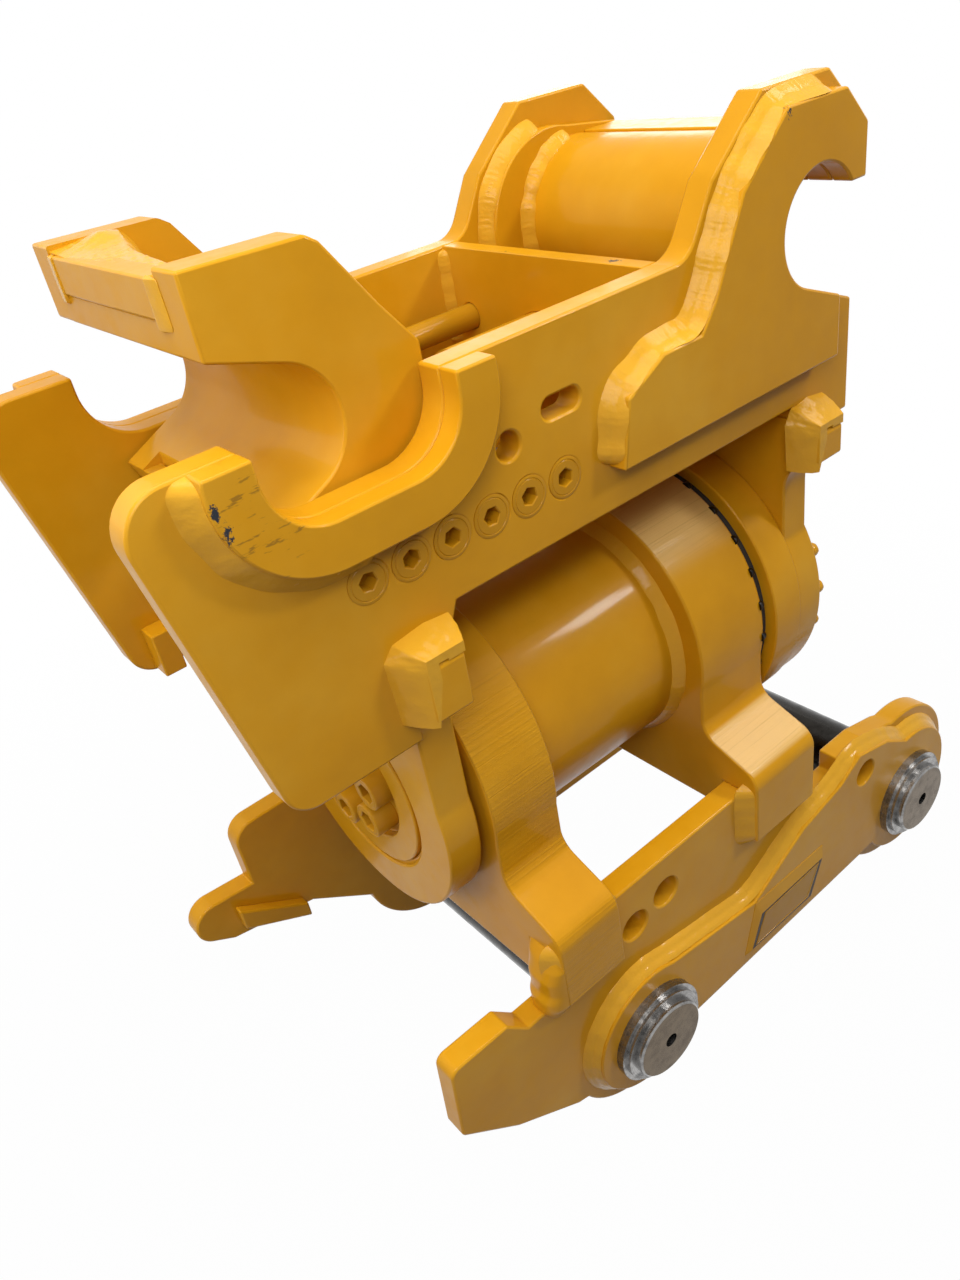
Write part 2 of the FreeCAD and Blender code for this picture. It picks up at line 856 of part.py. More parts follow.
# Rotary actuator: tube, bearings, seals, shaft with hub, and the sliding piston
bearing_bore = S.shaft_radius + S.running_clearance
sleeve("actuator_tube", left_foot_end, S.right_foot_start, S.housing_bore, S.tube_radius)
left_bearing_end = S.left_foot_start + S.bearing_length
right_bearing_start = right_foot_end - S.bearing_length
sleeve("left_bearing", S.left_foot_start, left_bearing_end, bearing_bore, S.housing_bore)
sleeve("right_bearing", right_bearing_start, right_foot_end, bearing_bore, S.housing_bore)
sleeve("left_seal", left_ear_end + S.joint_gap, S.left_foot_start, bearing_bore + S.joint_gap,
       S.left_seal_radius)
sleeve("right_seal", right_foot_end, hub_start - S.joint_gap, bearing_bore + S.joint_gap,
       S.right_seal_radius)
piston_middle = (left_bearing_end + right_bearing_start) / 2
sleeve("actuator_piston", piston_middle - S.piston_length / 2, piston_middle + S.piston_length / 2,
       S.shaft_radius + S.piston_wall_gap, S.housing_bore - S.piston_wall_gap)


def cap_screw_ring(make):
    return ring_of(S.cap_screw_count, S.cap_screw_circle, S.cap_screw_first, make)


# Shaft, with tapped holes for the cap screws in its left end
shaft = Piece("actuator_shaft", "YZ", x=left_ear_end)
shaft.add(hub_end - left_ear_end, Circle(0, S.tilt_height, S.shaft_radius))
end_cap_floor = left_ear_start + S.end_cap_recess_depth
cap_screw_reach = S.cap_screw_grip - S.left_ear_thick + S.end_cap_recess_depth
screw_hole = S.cap_screw_radius + S.bolt_clearance
shaft.cut(*cap_screw_ring(lambda u, v: Circle(u, v, screw_hole)), depth=cap_screw_reach + S.bolt_clearance)

# End cap: dished disc in the left ear, held to the shaft by the cap screws
end_cap = Piece("end_cap", "YZ", x=left_ear_start)
end_cap.add(S.left_ear_thick, Circle(0, S.tilt_height, S.end_cap_radius))
end_cap.cut(Circle(0, S.tilt_height, S.end_cap_recess_radius), depth=S.end_cap_recess_depth)
end_cap.cut(*cap_screw_ring(lambda u, v: Circle(u, v, screw_hole)))

cap_screws = Piece("cap_screws", "YZ", x=end_cap_floor)
cap_screws.add(S.cap_screw_head, *cap_screw_ring(lambda u, v: Circle(u, v, S.cap_screw_head_radius)),
               back=True)
cap_screws.add(S.cap_screw_grip, *cap_screw_ring(lambda u, v: Circle(u, v, S.cap_screw_radius)))

# Hub flange at the right end of the shaft
hub = Piece("hub_flange", "YZ", x=hub_start)
hub.add(S.hub_thick, Circle(0, S.tilt_height, S.hub_radius))
hub.cut(Circle(0, S.tilt_height, S.shaft_radius))

# Heads of the bolts that hold the right ear to the hub, seated on the ear
ear_bolts = Piece("ear_bolts", "YZ", x=right_ear_end)
ear_bolts.add(S.ear_bolt_head,
              *ring_of(S.ear_bolt_count, S.ear_bolt_circle, S.ear_bolt_first,
                       lambda u, v: hexagon(u, v, S.ear_bolt_head_radius)))


# Ear plates: discs round the shaft ends, with a tab that passes through both side plates
def ear(name, start, thick, radius, tab_depth):
    tab = side_outer + S.ear_tab_proud
    tab_low = S.ear_top - tab_depth
    chamfer_low = S.ear_top - S.ear_tab_chamfer
    chamfer_start = tab - S.ear_tab_chamfer
    piece = Piece(name, "YZ", x=start)
    piece.add(thick, Outline(
        (-S.ear_neck, S.tilt_height),
        (S.ear_neck, S.tilt_height),
        (S.ear_neck, tab_low),
        (tab, tab_low),
        (tab, chamfer_low),
        (chamfer_start, S.ear_top),
        (-chamfer_start, S.ear_top),
        (-tab, chamfer_low),
        (-tab, tab_low),
        (-S.ear_neck, tab_low),
    ))
    piece.round(S.ear_tab_fillet, (-S.ear_neck, tab_low), (S.ear_neck, tab_low))
    piece.add(thick, Circle(0, S.tilt_height, radius))
    return piece


left_ear = ear("left_ear", left_ear_start, S.left_ear_thick, S.left_ear_radius, S.left_ear_tab_depth)
left_ear.cut(Circle(0, S.tilt_height, S.end_cap_radius))
left_ear.cut(Circle(0, S.tilt_height, S.end_cap_radius + S.end_cap_groove), depth=S.end_cap_groove)
ear("right_ear", hub_end, S.right_ear_thick, S.right_ear_radius, S.right_ear_tab_depth)


# Jaws: a round seat with straight lips that leave it towards an open side
def fixed_jaw(piece):
    """Cuts the fixed hook's mouth, which opens towards +X."""
    low_x = S.mouth_x - S.mouth_radius * sine(S.mouth_lip_slope)
    low_z = S.mouth_height - S.mouth_radius * cosine(S.mouth_lip_slope)
    end_x = low_x + S.mouth_reach * cosine(S.mouth_lip_slope)
    end_z = low_z - S.mouth_reach * sine(S.mouth_lip_slope)
    roof = S.mouth_height + S.mouth_roof
    piece.cut(Circle(S.mouth_x, S.mouth_height, S.mouth_radius))
    piece.cut(Outline(
        (S.mouth_x, S.mouth_height),
        (low_x, low_z),
        (end_x, end_z),
        (end_x, roof),
        (S.mouth_x, roof),
    ))


def throat_outline(radius, reach):
    """Straight part of the lock hook's throat, tangent to a seat of the given radius."""
    low_x = S.throat_x + radius * sine(S.throat_lip_slope)
    low_z = throat_height - radius * cosine(S.throat_lip_slope)
    high_x = S.throat_x + radius * sine(S.throat_roof_slope)
    high_z = throat_height + radius * cosine(S.throat_roof_slope)
    return Outline(
        (high_x, high_z),
        (low_x, low_z),
        (low_x - reach * cosine(S.throat_lip_slope), low_z - reach * sine(S.throat_lip_slope)),
        (high_x - reach * cosine(S.throat_roof_slope), high_z + reach * sine(S.throat_roof_slope)),
    )


def lock_jaw(piece):
    """Cuts the lock hook's throat, which opens towards -X."""
    piece.cut(Circle(S.throat_x, throat_height, S.throat_radius))
    piece.cut(throat_outline(S.throat_radius, S.throat_reach))


def saddle(piece):
    """Cuts the open saddle in the top edge, wide enough for the lock hook's travel."""
    piece.cut(Slot(S.throat_x, S.saddle_end, throat_height, S.throat_radius))
    piece.cut(box(S.throat_x - S.throat_radius, S.saddle_end + S.throat_radius,
                  throat_height, tower_top))


def rail_screw_ring(make):
    """Shapes spaced evenly along the rail, made by make(x, z)."""
    steps = int(S.rail_screw_count.number)
    pitch = (S.rail_length - S.rail_screw_inset * 2) / (S.rail_screw_count - 1)
    first = S.rail_start + S.rail_screw_inset
    return [make(first + pitch * step, rail_middle) for step in range(steps)]


rail_middle = rail_low + S.rail_thick / 2
rail_screw_hole = S.rail_screw_radius + S.bolt_clearance

# Side plates of the tilting frame, notched over the ear tabs
side_plate = Piece("near_side_plate", "XZ", y=-side_inner)
tower_slope_height = S.mouth_height + S.tower_slope_rise
side_corner = (S.side_left, side_top)
lobe_corner = (S.side_left_foot, S.side_lobe_bottom)
tower_foot = (S.tower_foot, side_top)
nose_corner = (S.nose_reach, nose_height)
roof_end = S.mouth_height + S.mouth_roof
toe_end = left_ear_end + S.side_toe_length
side_plate.add(S.side_thick, Outline(
    side_corner,
    lobe_corner,
    (left_ear_start, S.side_lobe_bottom),
    (left_ear_start, S.ear_top),
    (left_ear_end, S.ear_top),
    (left_ear_end, S.side_toe),
    (toe_end, S.side_toe),
    (toe_end + S.side_toe_length, S.side_bottom),
    (hub_end, S.side_bottom),
    (hub_end, S.ear_top),
    (right_ear_end, S.ear_top),
    (right_ear_end, S.side_leg_bottom),
    (S.side_right, S.side_leg_bottom),
    (S.side_right, roof_end),
    nose_corner,
    (S.nose_top_start, tower_top),
    (S.tower_start, tower_top),
    (S.tower_slope_end, tower_slope_height),
    tower_foot,
))
side_plate.round(S.side_left_corner, side_corner)
side_plate.round(S.side_lobe_corner, lobe_corner)
side_plate.round(S.tower_foot_radius, tower_foot)
fixed_jaw(side_plate)
saddle(side_plate)
side_plate.cut(Slot(S.slot_start, S.slot_end, side_top - S.slot_drop, S.slot_radius))
side_plate.cut(Circle(S.side_hole_x, side_top - S.side_hole_drop, S.side_hole_radius))
side_plate.cut(*rail_screw_ring(lambda u, v: Circle(u, v, rail_screw_hole)))
side_plate.cut(*rail_screw_ring(lambda u, v: Circle(u, v, S.rail_screw_head_radius + S.bolt_clearance)),
               depth=S.rail_screw_head, lift=S.side_thick, back=True, taper=-45)
side_plate.twin("far_side_plate")

saddle_doubler = Piece("near_saddle_doubler", "XZ", y=-side_outer)
saddle_doubler.add(S.doubler_thick, Slot(S.throat_x, S.saddle_end, throat_height, S.saddle_doubler_radius))
saddle_doubler.cut(box(S.side_left, S.tower_foot, side_top, tower_top))
saddle(saddle_doubler)
saddle_doubler.twin("far_saddle_doubler")

# Outer doubler of the fixed hook, stepped in from the edge of the side plate
hook_doubler = Piece("near_hook_doubler", "XZ", y=-side_outer)
doubler_top = tower_top - S.hook_doubler_inset
hook_doubler.add(S.doubler_thick, Outline(
    (S.hook_doubler_left, S.hook_doubler_bottom),
    (S.hook_doubler_leg, S.hook_doubler_bottom),
    (S.hook_doubler_leg, S.mouth_height - S.throat_radius),
    (S.guide_plate_end, roof_end - S.hook_doubler_inset / 2),
    (S.guide_plate_end, nose_height - S.hook_doubler_inset / 2),
    (S.nose_top_start - S.hook_doubler_inset / 4, doubler_top),
    (S.tower_start + S.hook_doubler_inset / 2, doubler_top),
    (S.tower_slope_end + S.hook_doubler_inset, tower_slope_height - S.hook_doubler_inset * 0.75),
    (S.tower_foot + S.hook_doubler_inset / 2, side_top - S.side_left_corner),
    (S.hook_doubler_shelf_end, side_top - S.hook_doubler_shelf_drop),
    (S.hook_doubler_ramp_end, side_top - S.hook_doubler_shelf_drop),
    (S.hook_doubler_ramp_start, side_top - S.hook_doubler_ramp_drop),
))
fixed_jaw(hook_doubler)
hook_doubler.twin("far_hook_doubler")

# Inner doublers of the mouth, with a rolled liner tube and a guide plate between them
mouth_doubler = Piece("near_mouth_doubler", "XZ", y=-mouth_doubler_inner)
seat_x = S.mouth_x - S.mouth_doubler_setback
mouth_doubler.add(S.mouth_doubler_thick, Outline(
    (seat_x, S.mouth_height - S.mouth_doubler_radius),
    (S.hook_doubler_leg, S.mouth_height - S.mouth_doubler_radius),
    (S.hook_doubler_leg, S.mouth_height - S.throat_radius),
    (S.guide_plate_end, roof_end - S.hook_doubler_inset / 2),
    (S.guide_plate_end, guide_plate_top),
    (seat_x, S.mouth_height + S.mouth_doubler_radius),
))
mouth_doubler.add(S.mouth_doubler_thick, Circle(seat_x, S.mouth_height, S.mouth_doubler_radius))
fixed_jaw(mouth_doubler)
mouth_doubler.twin("far_mouth_doubler")

liner = Piece("mouth_liner", "XZ", y=mouth_doubler_inner)
liner.add(mouth_doubler_inner * 2, Circle(S.mouth_x, S.mouth_height, S.liner_radius))
fixed_jaw(liner)
guide_low = guide_plate_top - S.guide_plate_thick
liner.cut(box(S.guide_plate_start, S.nose_reach, guide_low, guide_plate_top))

guide_plate = Piece("mouth_guide_plate", "XZ", y=mouth_doubler_inner)
guide_plate.add(mouth_doubler_inner * 2,
                box(S.guide_plate_start, S.guide_plate_end, guide_low, guide_plate_top))

# Cross plate with holes for the guide rods and the cylinder, and the floor under it
rod_hole = Circle(-S.guide_rod_y, guide_rod_height, S.guide_rod_radius + S.joint_gap)
far_rod_hole = Circle(S.guide_rod_y, guide_rod_height, S.guide_rod_radius + S.joint_gap)
cross_plate = Piece("cross_plate", "YZ", x=S.cross_plate_start)
cross_plate.add(S.cross_plate_thick, box(-side_inner, side_inner, floor_top, side_top))
cross_plate.cut(rod_hole, far_rod_hole, Circle(0, cylinder_height, S.barrel_radius))

floor_plate = Piece("floor_plate", "XY", z=S.ear_top)
floor_plate.add(S.floor_thick, box(left_ear_start, right_ear_end, -side_inner, side_inner))

# Guide rails on the side plates, each held by a row of countersunk screws
rail = Piece("near_guide_rail", "XZ", y=-side_inner + S.rail_width)
rail.add(S.rail_width, box(S.rail_start, S.rail_start + S.rail_length, rail_low, rail_top))
rail.cut(*rail_screw_ring(lambda u, v: Circle(u, v, rail_screw_hole)))
rail.twin("far_guide_rail")


def rail_screw_row(name):
    """One row of countersunk screws, flush with the outside of the side plate."""
    row = Piece(name, "XZ", y=-side_outer)
    row.add(S.rail_screw_head, *rail_screw_ring(lambda u, v: Circle(u, v, S.rail_screw_head_radius)),
            back=True, taper=-45)
    row.add(S.rail_screw_length, *rail_screw_ring(lambda u, v: Circle(u, v, S.rail_screw_radius)),
            back=True)
    return row


rail_screw_row("near_rail_screws").twin("far_rail_screws")

# Stop lug inside the far side plate
stop_lug = Piece("stop_lug", "XZ", y=side_inner)
stop_lug.add(S.stop_lug_thick, box(S.stop_lug_start, S.stop_lug_start + S.stop_lug_width,
                                   S.stop_lug_low, S.stop_lug_low + S.stop_lug_height))

# Lock hook plates
lock_top = throat_height + S.lock_top_rise
lock_plate = Piece("near_lock_plate", "XZ", y=-S.lock_plate_inner)
lock_plate.add(S.lock_plate_thick, Outline(
    (S.lock_back, slide_level),
    (S.lock_back, throat_height + S.lock_back_rise),
    (S.lock_shoulder, throat_height + S.lock_shoulder_rise),
    (S.lock_top_end, lock_top - S.lock_top_fall),
    (S.lock_top_start, lock_top),
    (S.lock_nose, throat_height + S.lock_nose_rise),
    (S.lock_nose, throat_height),
    (S.lock_tip, lock_tip_height),
    (S.lock_lip_foot, lock_lip_bottom),
    (S.lock_heel, lock_lip_bottom),
    (S.lock_heel, slide_level),
))
lock_jaw(lock_plate)
lock_plate.twin("far_lock_plate")

# Throat plate: rolled round the seat and carried out to the tip along the upper lip
throat_plate = Piece("throat_plate", "XZ", y=S.lock_plate_inner)
throat_outer = S.throat_radius + S.throat_plate_thick
throat_width = S.lock_plate_inner * 2
throat_plate.add(throat_width, Circle(S.throat_x, throat_height, throat_outer))
throat_plate.add(throat_width, throat_outline(throat_outer, S.throat_reach))
lock_jaw(throat_plate)
throat_plate.cut(
    box(S.lock_nose - S.throat_reach, S.throat_plate_end,
        throat_height - S.throat_reach * 2, throat_height),
    box(S.lock_nose - S.throat_reach, S.lock_nose,
        throat_height, throat_height + S.throat_reach * 2),
)

# Nose plate: stands on the sloping upper lip of the throat plate
nose_plate = Piece("hook_nose_plate", "XZ", y=S.nose_plate_width / 2)
nose_plate_start = S.lock_nose - S.nose_plate_proud
nose_plate_end = nose_plate_start + S.nose_plate_thick
nose_plate_top = throat_height + S.nose_plate_high_rise
lip_top_x = S.throat_x + throat_outer * sine(S.throat_roof_slope)
lip_top_z = throat_height + throat_outer * cosine(S.throat_roof_slope)
lip_pitch = sine(S.throat_roof_slope) / cosine(S.throat_roof_slope)
nose_plate.add(S.nose_plate_width, Outline(
    (nose_plate_start, lip_top_z + (lip_top_x - nose_plate_start) * lip_pitch),
    (nose_plate_end, lip_top_z + (lip_top_x - nose_plate_end) * lip_pitch),
    (nose_plate_end, nose_plate_top),
    (nose_plate_start, nose_plate_top),
))

lip_plate = Piece("hook_lip_plate", "XZ", y=S.lock_plate_inner)
lip_plate.add(throat_width, Outline(
    (S.lock_lip_foot, lock_lip_bottom),
    (S.lip_plate_back, lock_lip_bottom),
    (S.lip_plate_back, lock_tip_height),
    (S.lock_tip, lock_tip_height),
))

# Slide shoe: a channel welded between the lock plates, whose flanges run under the rails
shoe = Piece("slide_shoe", "YZ", x=S.shoe_start)
rail_face = side_inner - S.rail_width - S.slide_gap
shoe_flange_top = rail_low - S.slide_gap
shoe_flange_low = shoe_flange_top - S.shoe_flange_thick
shoe_channel = shoe_flange_low + S.shoe_floor_thick
shoe_wall_top = slide_level + S.shoe_weld_step
shoe.add(S.shoe_length, Outline(
    (-S.shoe_flange_reach, shoe_flange_low),
    (S.shoe_flange_reach, shoe_flange_low),
    (S.shoe_flange_reach, shoe_flange_top),
    (rail_face, shoe_flange_top),
    (rail_face, slide_level),
    (S.lock_plate_inner, slide_level),
    (S.lock_plate_inner, shoe_wall_top),
    (S.shoe_wall_inner, shoe_wall_top),
    (S.shoe_wall_inner, shoe_channel),
    (-S.shoe_wall_inner, shoe_channel),
    (-S.shoe_wall_inner, shoe_wall_top),
    (-S.lock_plate_inner, shoe_wall_top),
    (-S.lock_plate_inner, slide_level),
    (-rail_face, slide_level),
    (-rail_face, shoe_flange_top),
    (-S.shoe_flange_reach, shoe_flange_top),
))

guide_rods = Piece("guide_rods", "YZ", x=S.lock_back)
guide_rods.add(S.guide_rod_end - S.lock_back,
               Circle(-S.guide_rod_y, guide_rod_height, S.guide_rod_radius),
               Circle(S.guide_rod_y, guide_rod_height, S.guide_rod_radius))

# Lock cylinder: barrel fixed in the cross plate, rod pinned to the lock plates
barrel = Piece("cylinder_barrel", "XZ", z=cylinder_height)
barrel_end = S.barrel_start + S.barrel_length
flange_start = S.cross_plate_start + S.cross_plate_thick
barrel.spin(Outline(
    (S.barrel_start, S.rod_radius + S.joint_gap),
    (S.barrel_start, S.barrel_radius),
    (flange_start, S.barrel_radius),
    (flange_start, S.barrel_flange_radius),
    (flange_start + S.barrel_flange_thick, S.barrel_flange_radius),
    (flange_start + S.barrel_flange_thick, S.barrel_radius),
    (barrel_end, S.barrel_radius),
    (barrel_end, 0),
    (barrel_end - S.barrel_end_thick, 0),
    (barrel_end - S.barrel_end_thick, S.barrel_bore),
    (S.barrel_start + S.barrel_end_thick, S.barrel_bore),
    (S.barrel_start + S.barrel_end_thick, S.rod_radius + S.joint_gap),
))

cylinder_rod = Piece("cylinder_rod", "XZ", z=cylinder_height)
rod_piston_end = S.rod_piston_start + S.rod_piston_length
rod_foot = S.rod_eye_x + S.rod_radius
cylinder_rod.spin(Outline(
    (rod_foot, 0),
    (rod_foot, S.rod_radius),
    (S.rod_piston_start, S.rod_radius),
    (S.rod_piston_start, S.barrel_bore - S.joint_gap),
    (rod_piston_end, S.barrel_bore - S.joint_gap),
    (rod_piston_end, 0),
))
cylinder_rod.add(S.rod_eye_width, Circle(S.rod_eye_x, 0, S.rod_eye_radius), lift=-S.rod_eye_width / 2)
cylinder_rod.cut(Circle(S.rod_eye_x, 0, S.clevis_pin_radius + S.running_clearance),
                 lift=S.rod_eye_width, back=True)

clevis_pin = Piece("clevis_pin", "XZ", y=S.lock_plate_inner)
clevis_pin.add(throat_width, Circle(S.rod_eye_x, cylinder_height, S.clevis_pin_radius))

doc.recompute()
for item in doc.Objects:
    if "Invalid" in item.State or "Error" in item.State:
        raise ValueError(f"{item.Label} failed: {item.State}")
for piece in PIECES:
    if piece.Shape.isNull() or not piece.Shape.isValid():
        raise ValueError(f"{piece.Label} has no sound shape")

os.makedirs("parts", exist_ok=True)
for piece in PIECES:
    piece.Shape.exportStep(f"parts/{piece.Label}.step")
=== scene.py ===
import json
import math

import bmesh
import bpy
import numpy as np
from mathutils import Matrix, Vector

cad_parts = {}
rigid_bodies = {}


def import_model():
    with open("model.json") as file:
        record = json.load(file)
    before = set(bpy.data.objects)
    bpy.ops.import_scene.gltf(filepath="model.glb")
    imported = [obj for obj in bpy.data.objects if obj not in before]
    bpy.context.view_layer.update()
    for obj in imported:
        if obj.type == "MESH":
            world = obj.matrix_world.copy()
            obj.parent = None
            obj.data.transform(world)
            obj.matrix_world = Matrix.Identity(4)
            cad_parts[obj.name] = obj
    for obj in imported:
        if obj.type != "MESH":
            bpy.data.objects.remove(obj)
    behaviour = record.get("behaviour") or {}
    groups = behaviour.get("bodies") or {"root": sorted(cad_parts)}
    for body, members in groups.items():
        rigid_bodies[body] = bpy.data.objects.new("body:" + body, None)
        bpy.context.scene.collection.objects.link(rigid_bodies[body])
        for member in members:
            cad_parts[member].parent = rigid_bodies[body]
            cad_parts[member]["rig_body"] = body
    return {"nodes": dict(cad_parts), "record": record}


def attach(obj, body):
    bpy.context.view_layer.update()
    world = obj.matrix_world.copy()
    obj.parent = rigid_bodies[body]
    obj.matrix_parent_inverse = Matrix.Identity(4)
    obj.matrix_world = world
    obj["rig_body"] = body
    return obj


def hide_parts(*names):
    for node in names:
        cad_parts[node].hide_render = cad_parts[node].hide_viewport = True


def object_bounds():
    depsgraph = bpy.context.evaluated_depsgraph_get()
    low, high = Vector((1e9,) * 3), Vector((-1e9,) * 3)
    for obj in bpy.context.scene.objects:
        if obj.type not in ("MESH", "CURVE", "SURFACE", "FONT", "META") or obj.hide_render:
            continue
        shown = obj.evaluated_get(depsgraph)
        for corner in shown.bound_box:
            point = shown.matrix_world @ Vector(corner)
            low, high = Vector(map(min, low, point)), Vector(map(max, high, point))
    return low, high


# Tilting quick coupler for an excavator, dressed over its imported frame.
# X runs along the tilt axis towards the fixed hook, Y across the stick, Z up, all in metres.
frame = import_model()
nodes = frame["nodes"]
node_slot = {row["node"]: row["material_slot"] for row in frame["record"]["subparts"]}
frame_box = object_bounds()
scene = bpy.context.scene
MM = 0.001

# Sizes of the frame that the dressing follows, in millimetres
SIDE_FACE = 155.5
CHEEK_FACE = 204.0
BOSS_FACE = 221.0
TILT_HEIGHT = 335.0
PIN_SPACING = 475.0
MOUTH = (330.0, 725.0)
THROAT = (-181.0, 722.0)


# Camera
def look(location, right, down, ahead, lens):
    """Camera whose rows point right, down and ahead in the picture."""
    data = bpy.data.cameras.new("camera")
    data.lens = lens
    data.sensor_width = 36.0
    data.clip_start = 0.05
    data.clip_end = 60.0
    camera = bpy.data.objects.new("camera", data)
    scene.collection.objects.link(camera)
    camera.matrix_world = Matrix((
        (right[0], -down[0], -ahead[0], location[0]),
        (right[1], -down[1], -ahead[1], location[1]),
        (right[2], -down[2], -ahead[2], location[2]),
        (0.0, 0.0, 0.0, 1.0),
    ))
    scene.camera = camera


look(
    location=(-0.44581, -0.70239, 0.94780),
    right=(0.7579617, -0.63216077, -0.16083166),
    down=(-0.45791192, -0.34006379, -0.82138498),
    ahead=(0.46455434, 0.69622509, -0.54722928),
    lens=28.0963,
)
scene.view_settings.view_transform = "Standard"

# Lamps
MIDDLE = np.array([0.08, 0.0, 0.36])


def soft_light(name, direction, distance, size, power, colour=(1.0, 1.0, 1.0)):
    """Square lamp that stands off in one direction and faces the middle of the object.

    distance and size are in metres, power is in watts.
    """
    data = bpy.data.lights.new(name, "AREA")
    data.size = size
    data.energy = power
    data.color = colour
    lamp = bpy.data.objects.new(name, data)
    lamp.visible_camera = False
    scene.collection.objects.link(lamp)
    away = np.array(direction) / np.linalg.norm(direction)
    level = np.cross((0.0, 0.0, 1.0), away)
    level = level / np.linalg.norm(level)
    turn = np.eye(4)
    turn[:3, :3] = np.stack((level, np.cross(away, level), away), axis=1)
    turn[:3, 3] = MIDDLE + away * distance
    lamp.matrix_world = Matrix(turn.tolist())


soft_light("key_lamp", (0.60, -0.24, 0.76), 2.6, 0.8, 16.0, (1.0, 0.98, 0.94))
soft_light("sky_lamp", (-0.12, -0.08, 0.98), 2.5, 1.8, 50.0, (1.0, 0.98, 0.95))
soft_light("left_lamp", (-0.48, -0.54, 0.69), 1.5, 0.6, 8.5, (1.0, 0.98, 0.95))
soft_light("side_lamp", (-0.90, 0.12, 0.40), 2.0, 0.9, 13.0, (1.0, 0.96, 0.88))
soft_light("glint_lamp", (0.55, -0.56, 0.62), 2.6, 0.32, 15.0)
soft_light("far_lamp", (-0.38, 0.82, 0.40), 2.8, 1.8, 9.0, (1.0, 0.88, 0.60))
soft_light("back_lamp", (0.70, 0.66, 0.26), 2.8, 1.3, 15.0)


# Building blocks of the materials: each adds nodes to a tree and returns an output socket
def new_material(name):
    """Empty node material: its nodes, its links and its shader."""
    material = bpy.data.materials.new(name)
    material.use_nodes = True
    tree = material.node_tree
    return material, tree.nodes, tree.links, tree.nodes["Principled BSDF"]


def place_of(parts, links, scale=(1.0, 1.0, 1.0), centre=(0.0, 0.0, 0.0), turn=(0.0, 0.0, 0.0)):
    """Object coordinates round a centre, scaled and then turned."""
    coordinate = parts.new("ShaderNodeTexCoord")
    mapping = parts.new("ShaderNodeMapping")
    mapping.inputs["Location"].default_value = [-c * s for c, s in zip(centre, scale)]
    mapping.inputs["Rotation"].default_value = turn
    mapping.inputs["Scale"].default_value = scale
    links.new(coordinate.outputs["Object"], mapping.inputs["Vector"])
    return mapping.outputs["Vector"]


def axis_of(parts, links, vector, axis):
    split = parts.new("ShaderNodeSeparateXYZ")
    links.new(vector, split.inputs["Vector"])
    return split.outputs[axis]


def facing(parts, links, axis):
    """How far a face looks along one axis, from -1 to 1."""
    return axis_of(parts, links, parts.new("ShaderNodeTexCoord").outputs["Normal"], axis)


def length_of(parts, links, vector):
    node = parts.new("ShaderNodeVectorMath")
    node.operation = "LENGTH"
    links.new(vector, node.inputs[0])
    return node.outputs["Value"]


def noise(parts, links, vector, scale, detail=3.0, roughness=0.5):
    texture = parts.new("ShaderNodeTexNoise")
    texture.inputs["Scale"].default_value = scale
    texture.inputs["Detail"].default_value = detail
    texture.inputs["Roughness"].default_value = roughness
    links.new(vector, texture.inputs["Vector"])
    return texture.outputs["Fac"]


def ramp(parts, links, factor, *stops):
    """Colour ramp through (place, colour) stops."""
    node = parts.new("ShaderNodeValToRGB")
    elements = node.color_ramp.elements
    for index, (position, colour) in enumerate(stops):
        element = elements[index] if index < 2 else elements.new(position)
        element.position = position
        element.color = (*colour, 1.0)
    links.new(factor, node.inputs["Fac"])
    return node.outputs["Color"]


def step(parts, links, value, low, high, out_low=0.0, out_high=1.0, kind="SMOOTHSTEP"):
    """Value carried from one range to another."""
    node = parts.new("ShaderNodeMapRange")
    node.interpolation_type = kind
    for name, number in (("From Min", low), ("From Max", high), ("To Min", out_low), ("To Max", out_high)):
        node.inputs[name].default_value = number
    links.new(value, node.inputs["Value"])
    return node.outputs["Result"]


def math_node(parts, links, operation, *values):
    node = parts.new("ShaderNodeMath")
    node.operation = operation
    for index, value in enumerate(values):
        if isinstance(value, (int, float)):
            node.inputs[index].default_value = value
        else:
            links.new(value, node.inputs[index])
    return node.outputs[0]


def mixed(parts, links, factor, first, second):
    """Colour mixed from two colours by a factor."""
    node = parts.new("ShaderNodeMix")
    node.data_type = "RGBA"
    for slot, value in (("Factor_Float", factor), ("A_Color", first), ("B_Color", second)):
        socket = next(s for s in node.inputs if s.identifier == slot)
        if isinstance(value, tuple):
            socket.default_value = (*value, 1.0)
        elif isinstance(value, float):
            socket.default_value = value
        else:
            links.new(value, socket)
    return next(s for s in node.outputs if s.identifier == "Result_Color")


def bumped(parts, links, shader, *layers):
    """Stacks bump layers, each (height, strength, distance in metres)."""
    normal = None
    for height, strength, distance in layers:
        node = parts.new("ShaderNodeBump")
        node.inputs["Strength"].default_value = strength
        node.inputs["Distance"].default_value = distance
        links.new(height, node.inputs["Height"])
        if normal is not None:
            links.new(normal, node.inputs["Normal"])
        normal = node.outputs["Normal"]
    links.new(normal, shader.inputs["Normal"])


# World and floor, both white wherever they are seen
def seen(parts, links):
    """One for the rays that show the background: from the camera, off metal and through glass."""
    path = parts.new("ShaderNodeLightPath")
    rays = math_node(parts, links, "MAXIMUM", path.outputs["Is Camera Ray"], path.outputs["Is Glossy Ray"])
    return math_node(parts, links, "MAXIMUM", rays, path.outputs["Is Transmission Ray"])


def blended(parts, links, factor, plain, shown, output):
    """Mixes two shaders by a factor and hands the result to an output node."""
    mix = parts.new("ShaderNodeMixShader")
    links.new(factor, mix.inputs["Fac"])
    links.new(plain, mix.inputs[1])
    links.new(shown, mix.inputs[2])
    links.new(mix.outputs["Shader"], parts[output].inputs["Surface"])


WHITE = (1.0, 1.0, 1.0, 1.0)
SKY_TINT = (0.96, 0.98, 1.0, 1.0)
SKY_STRENGTH = 0.085


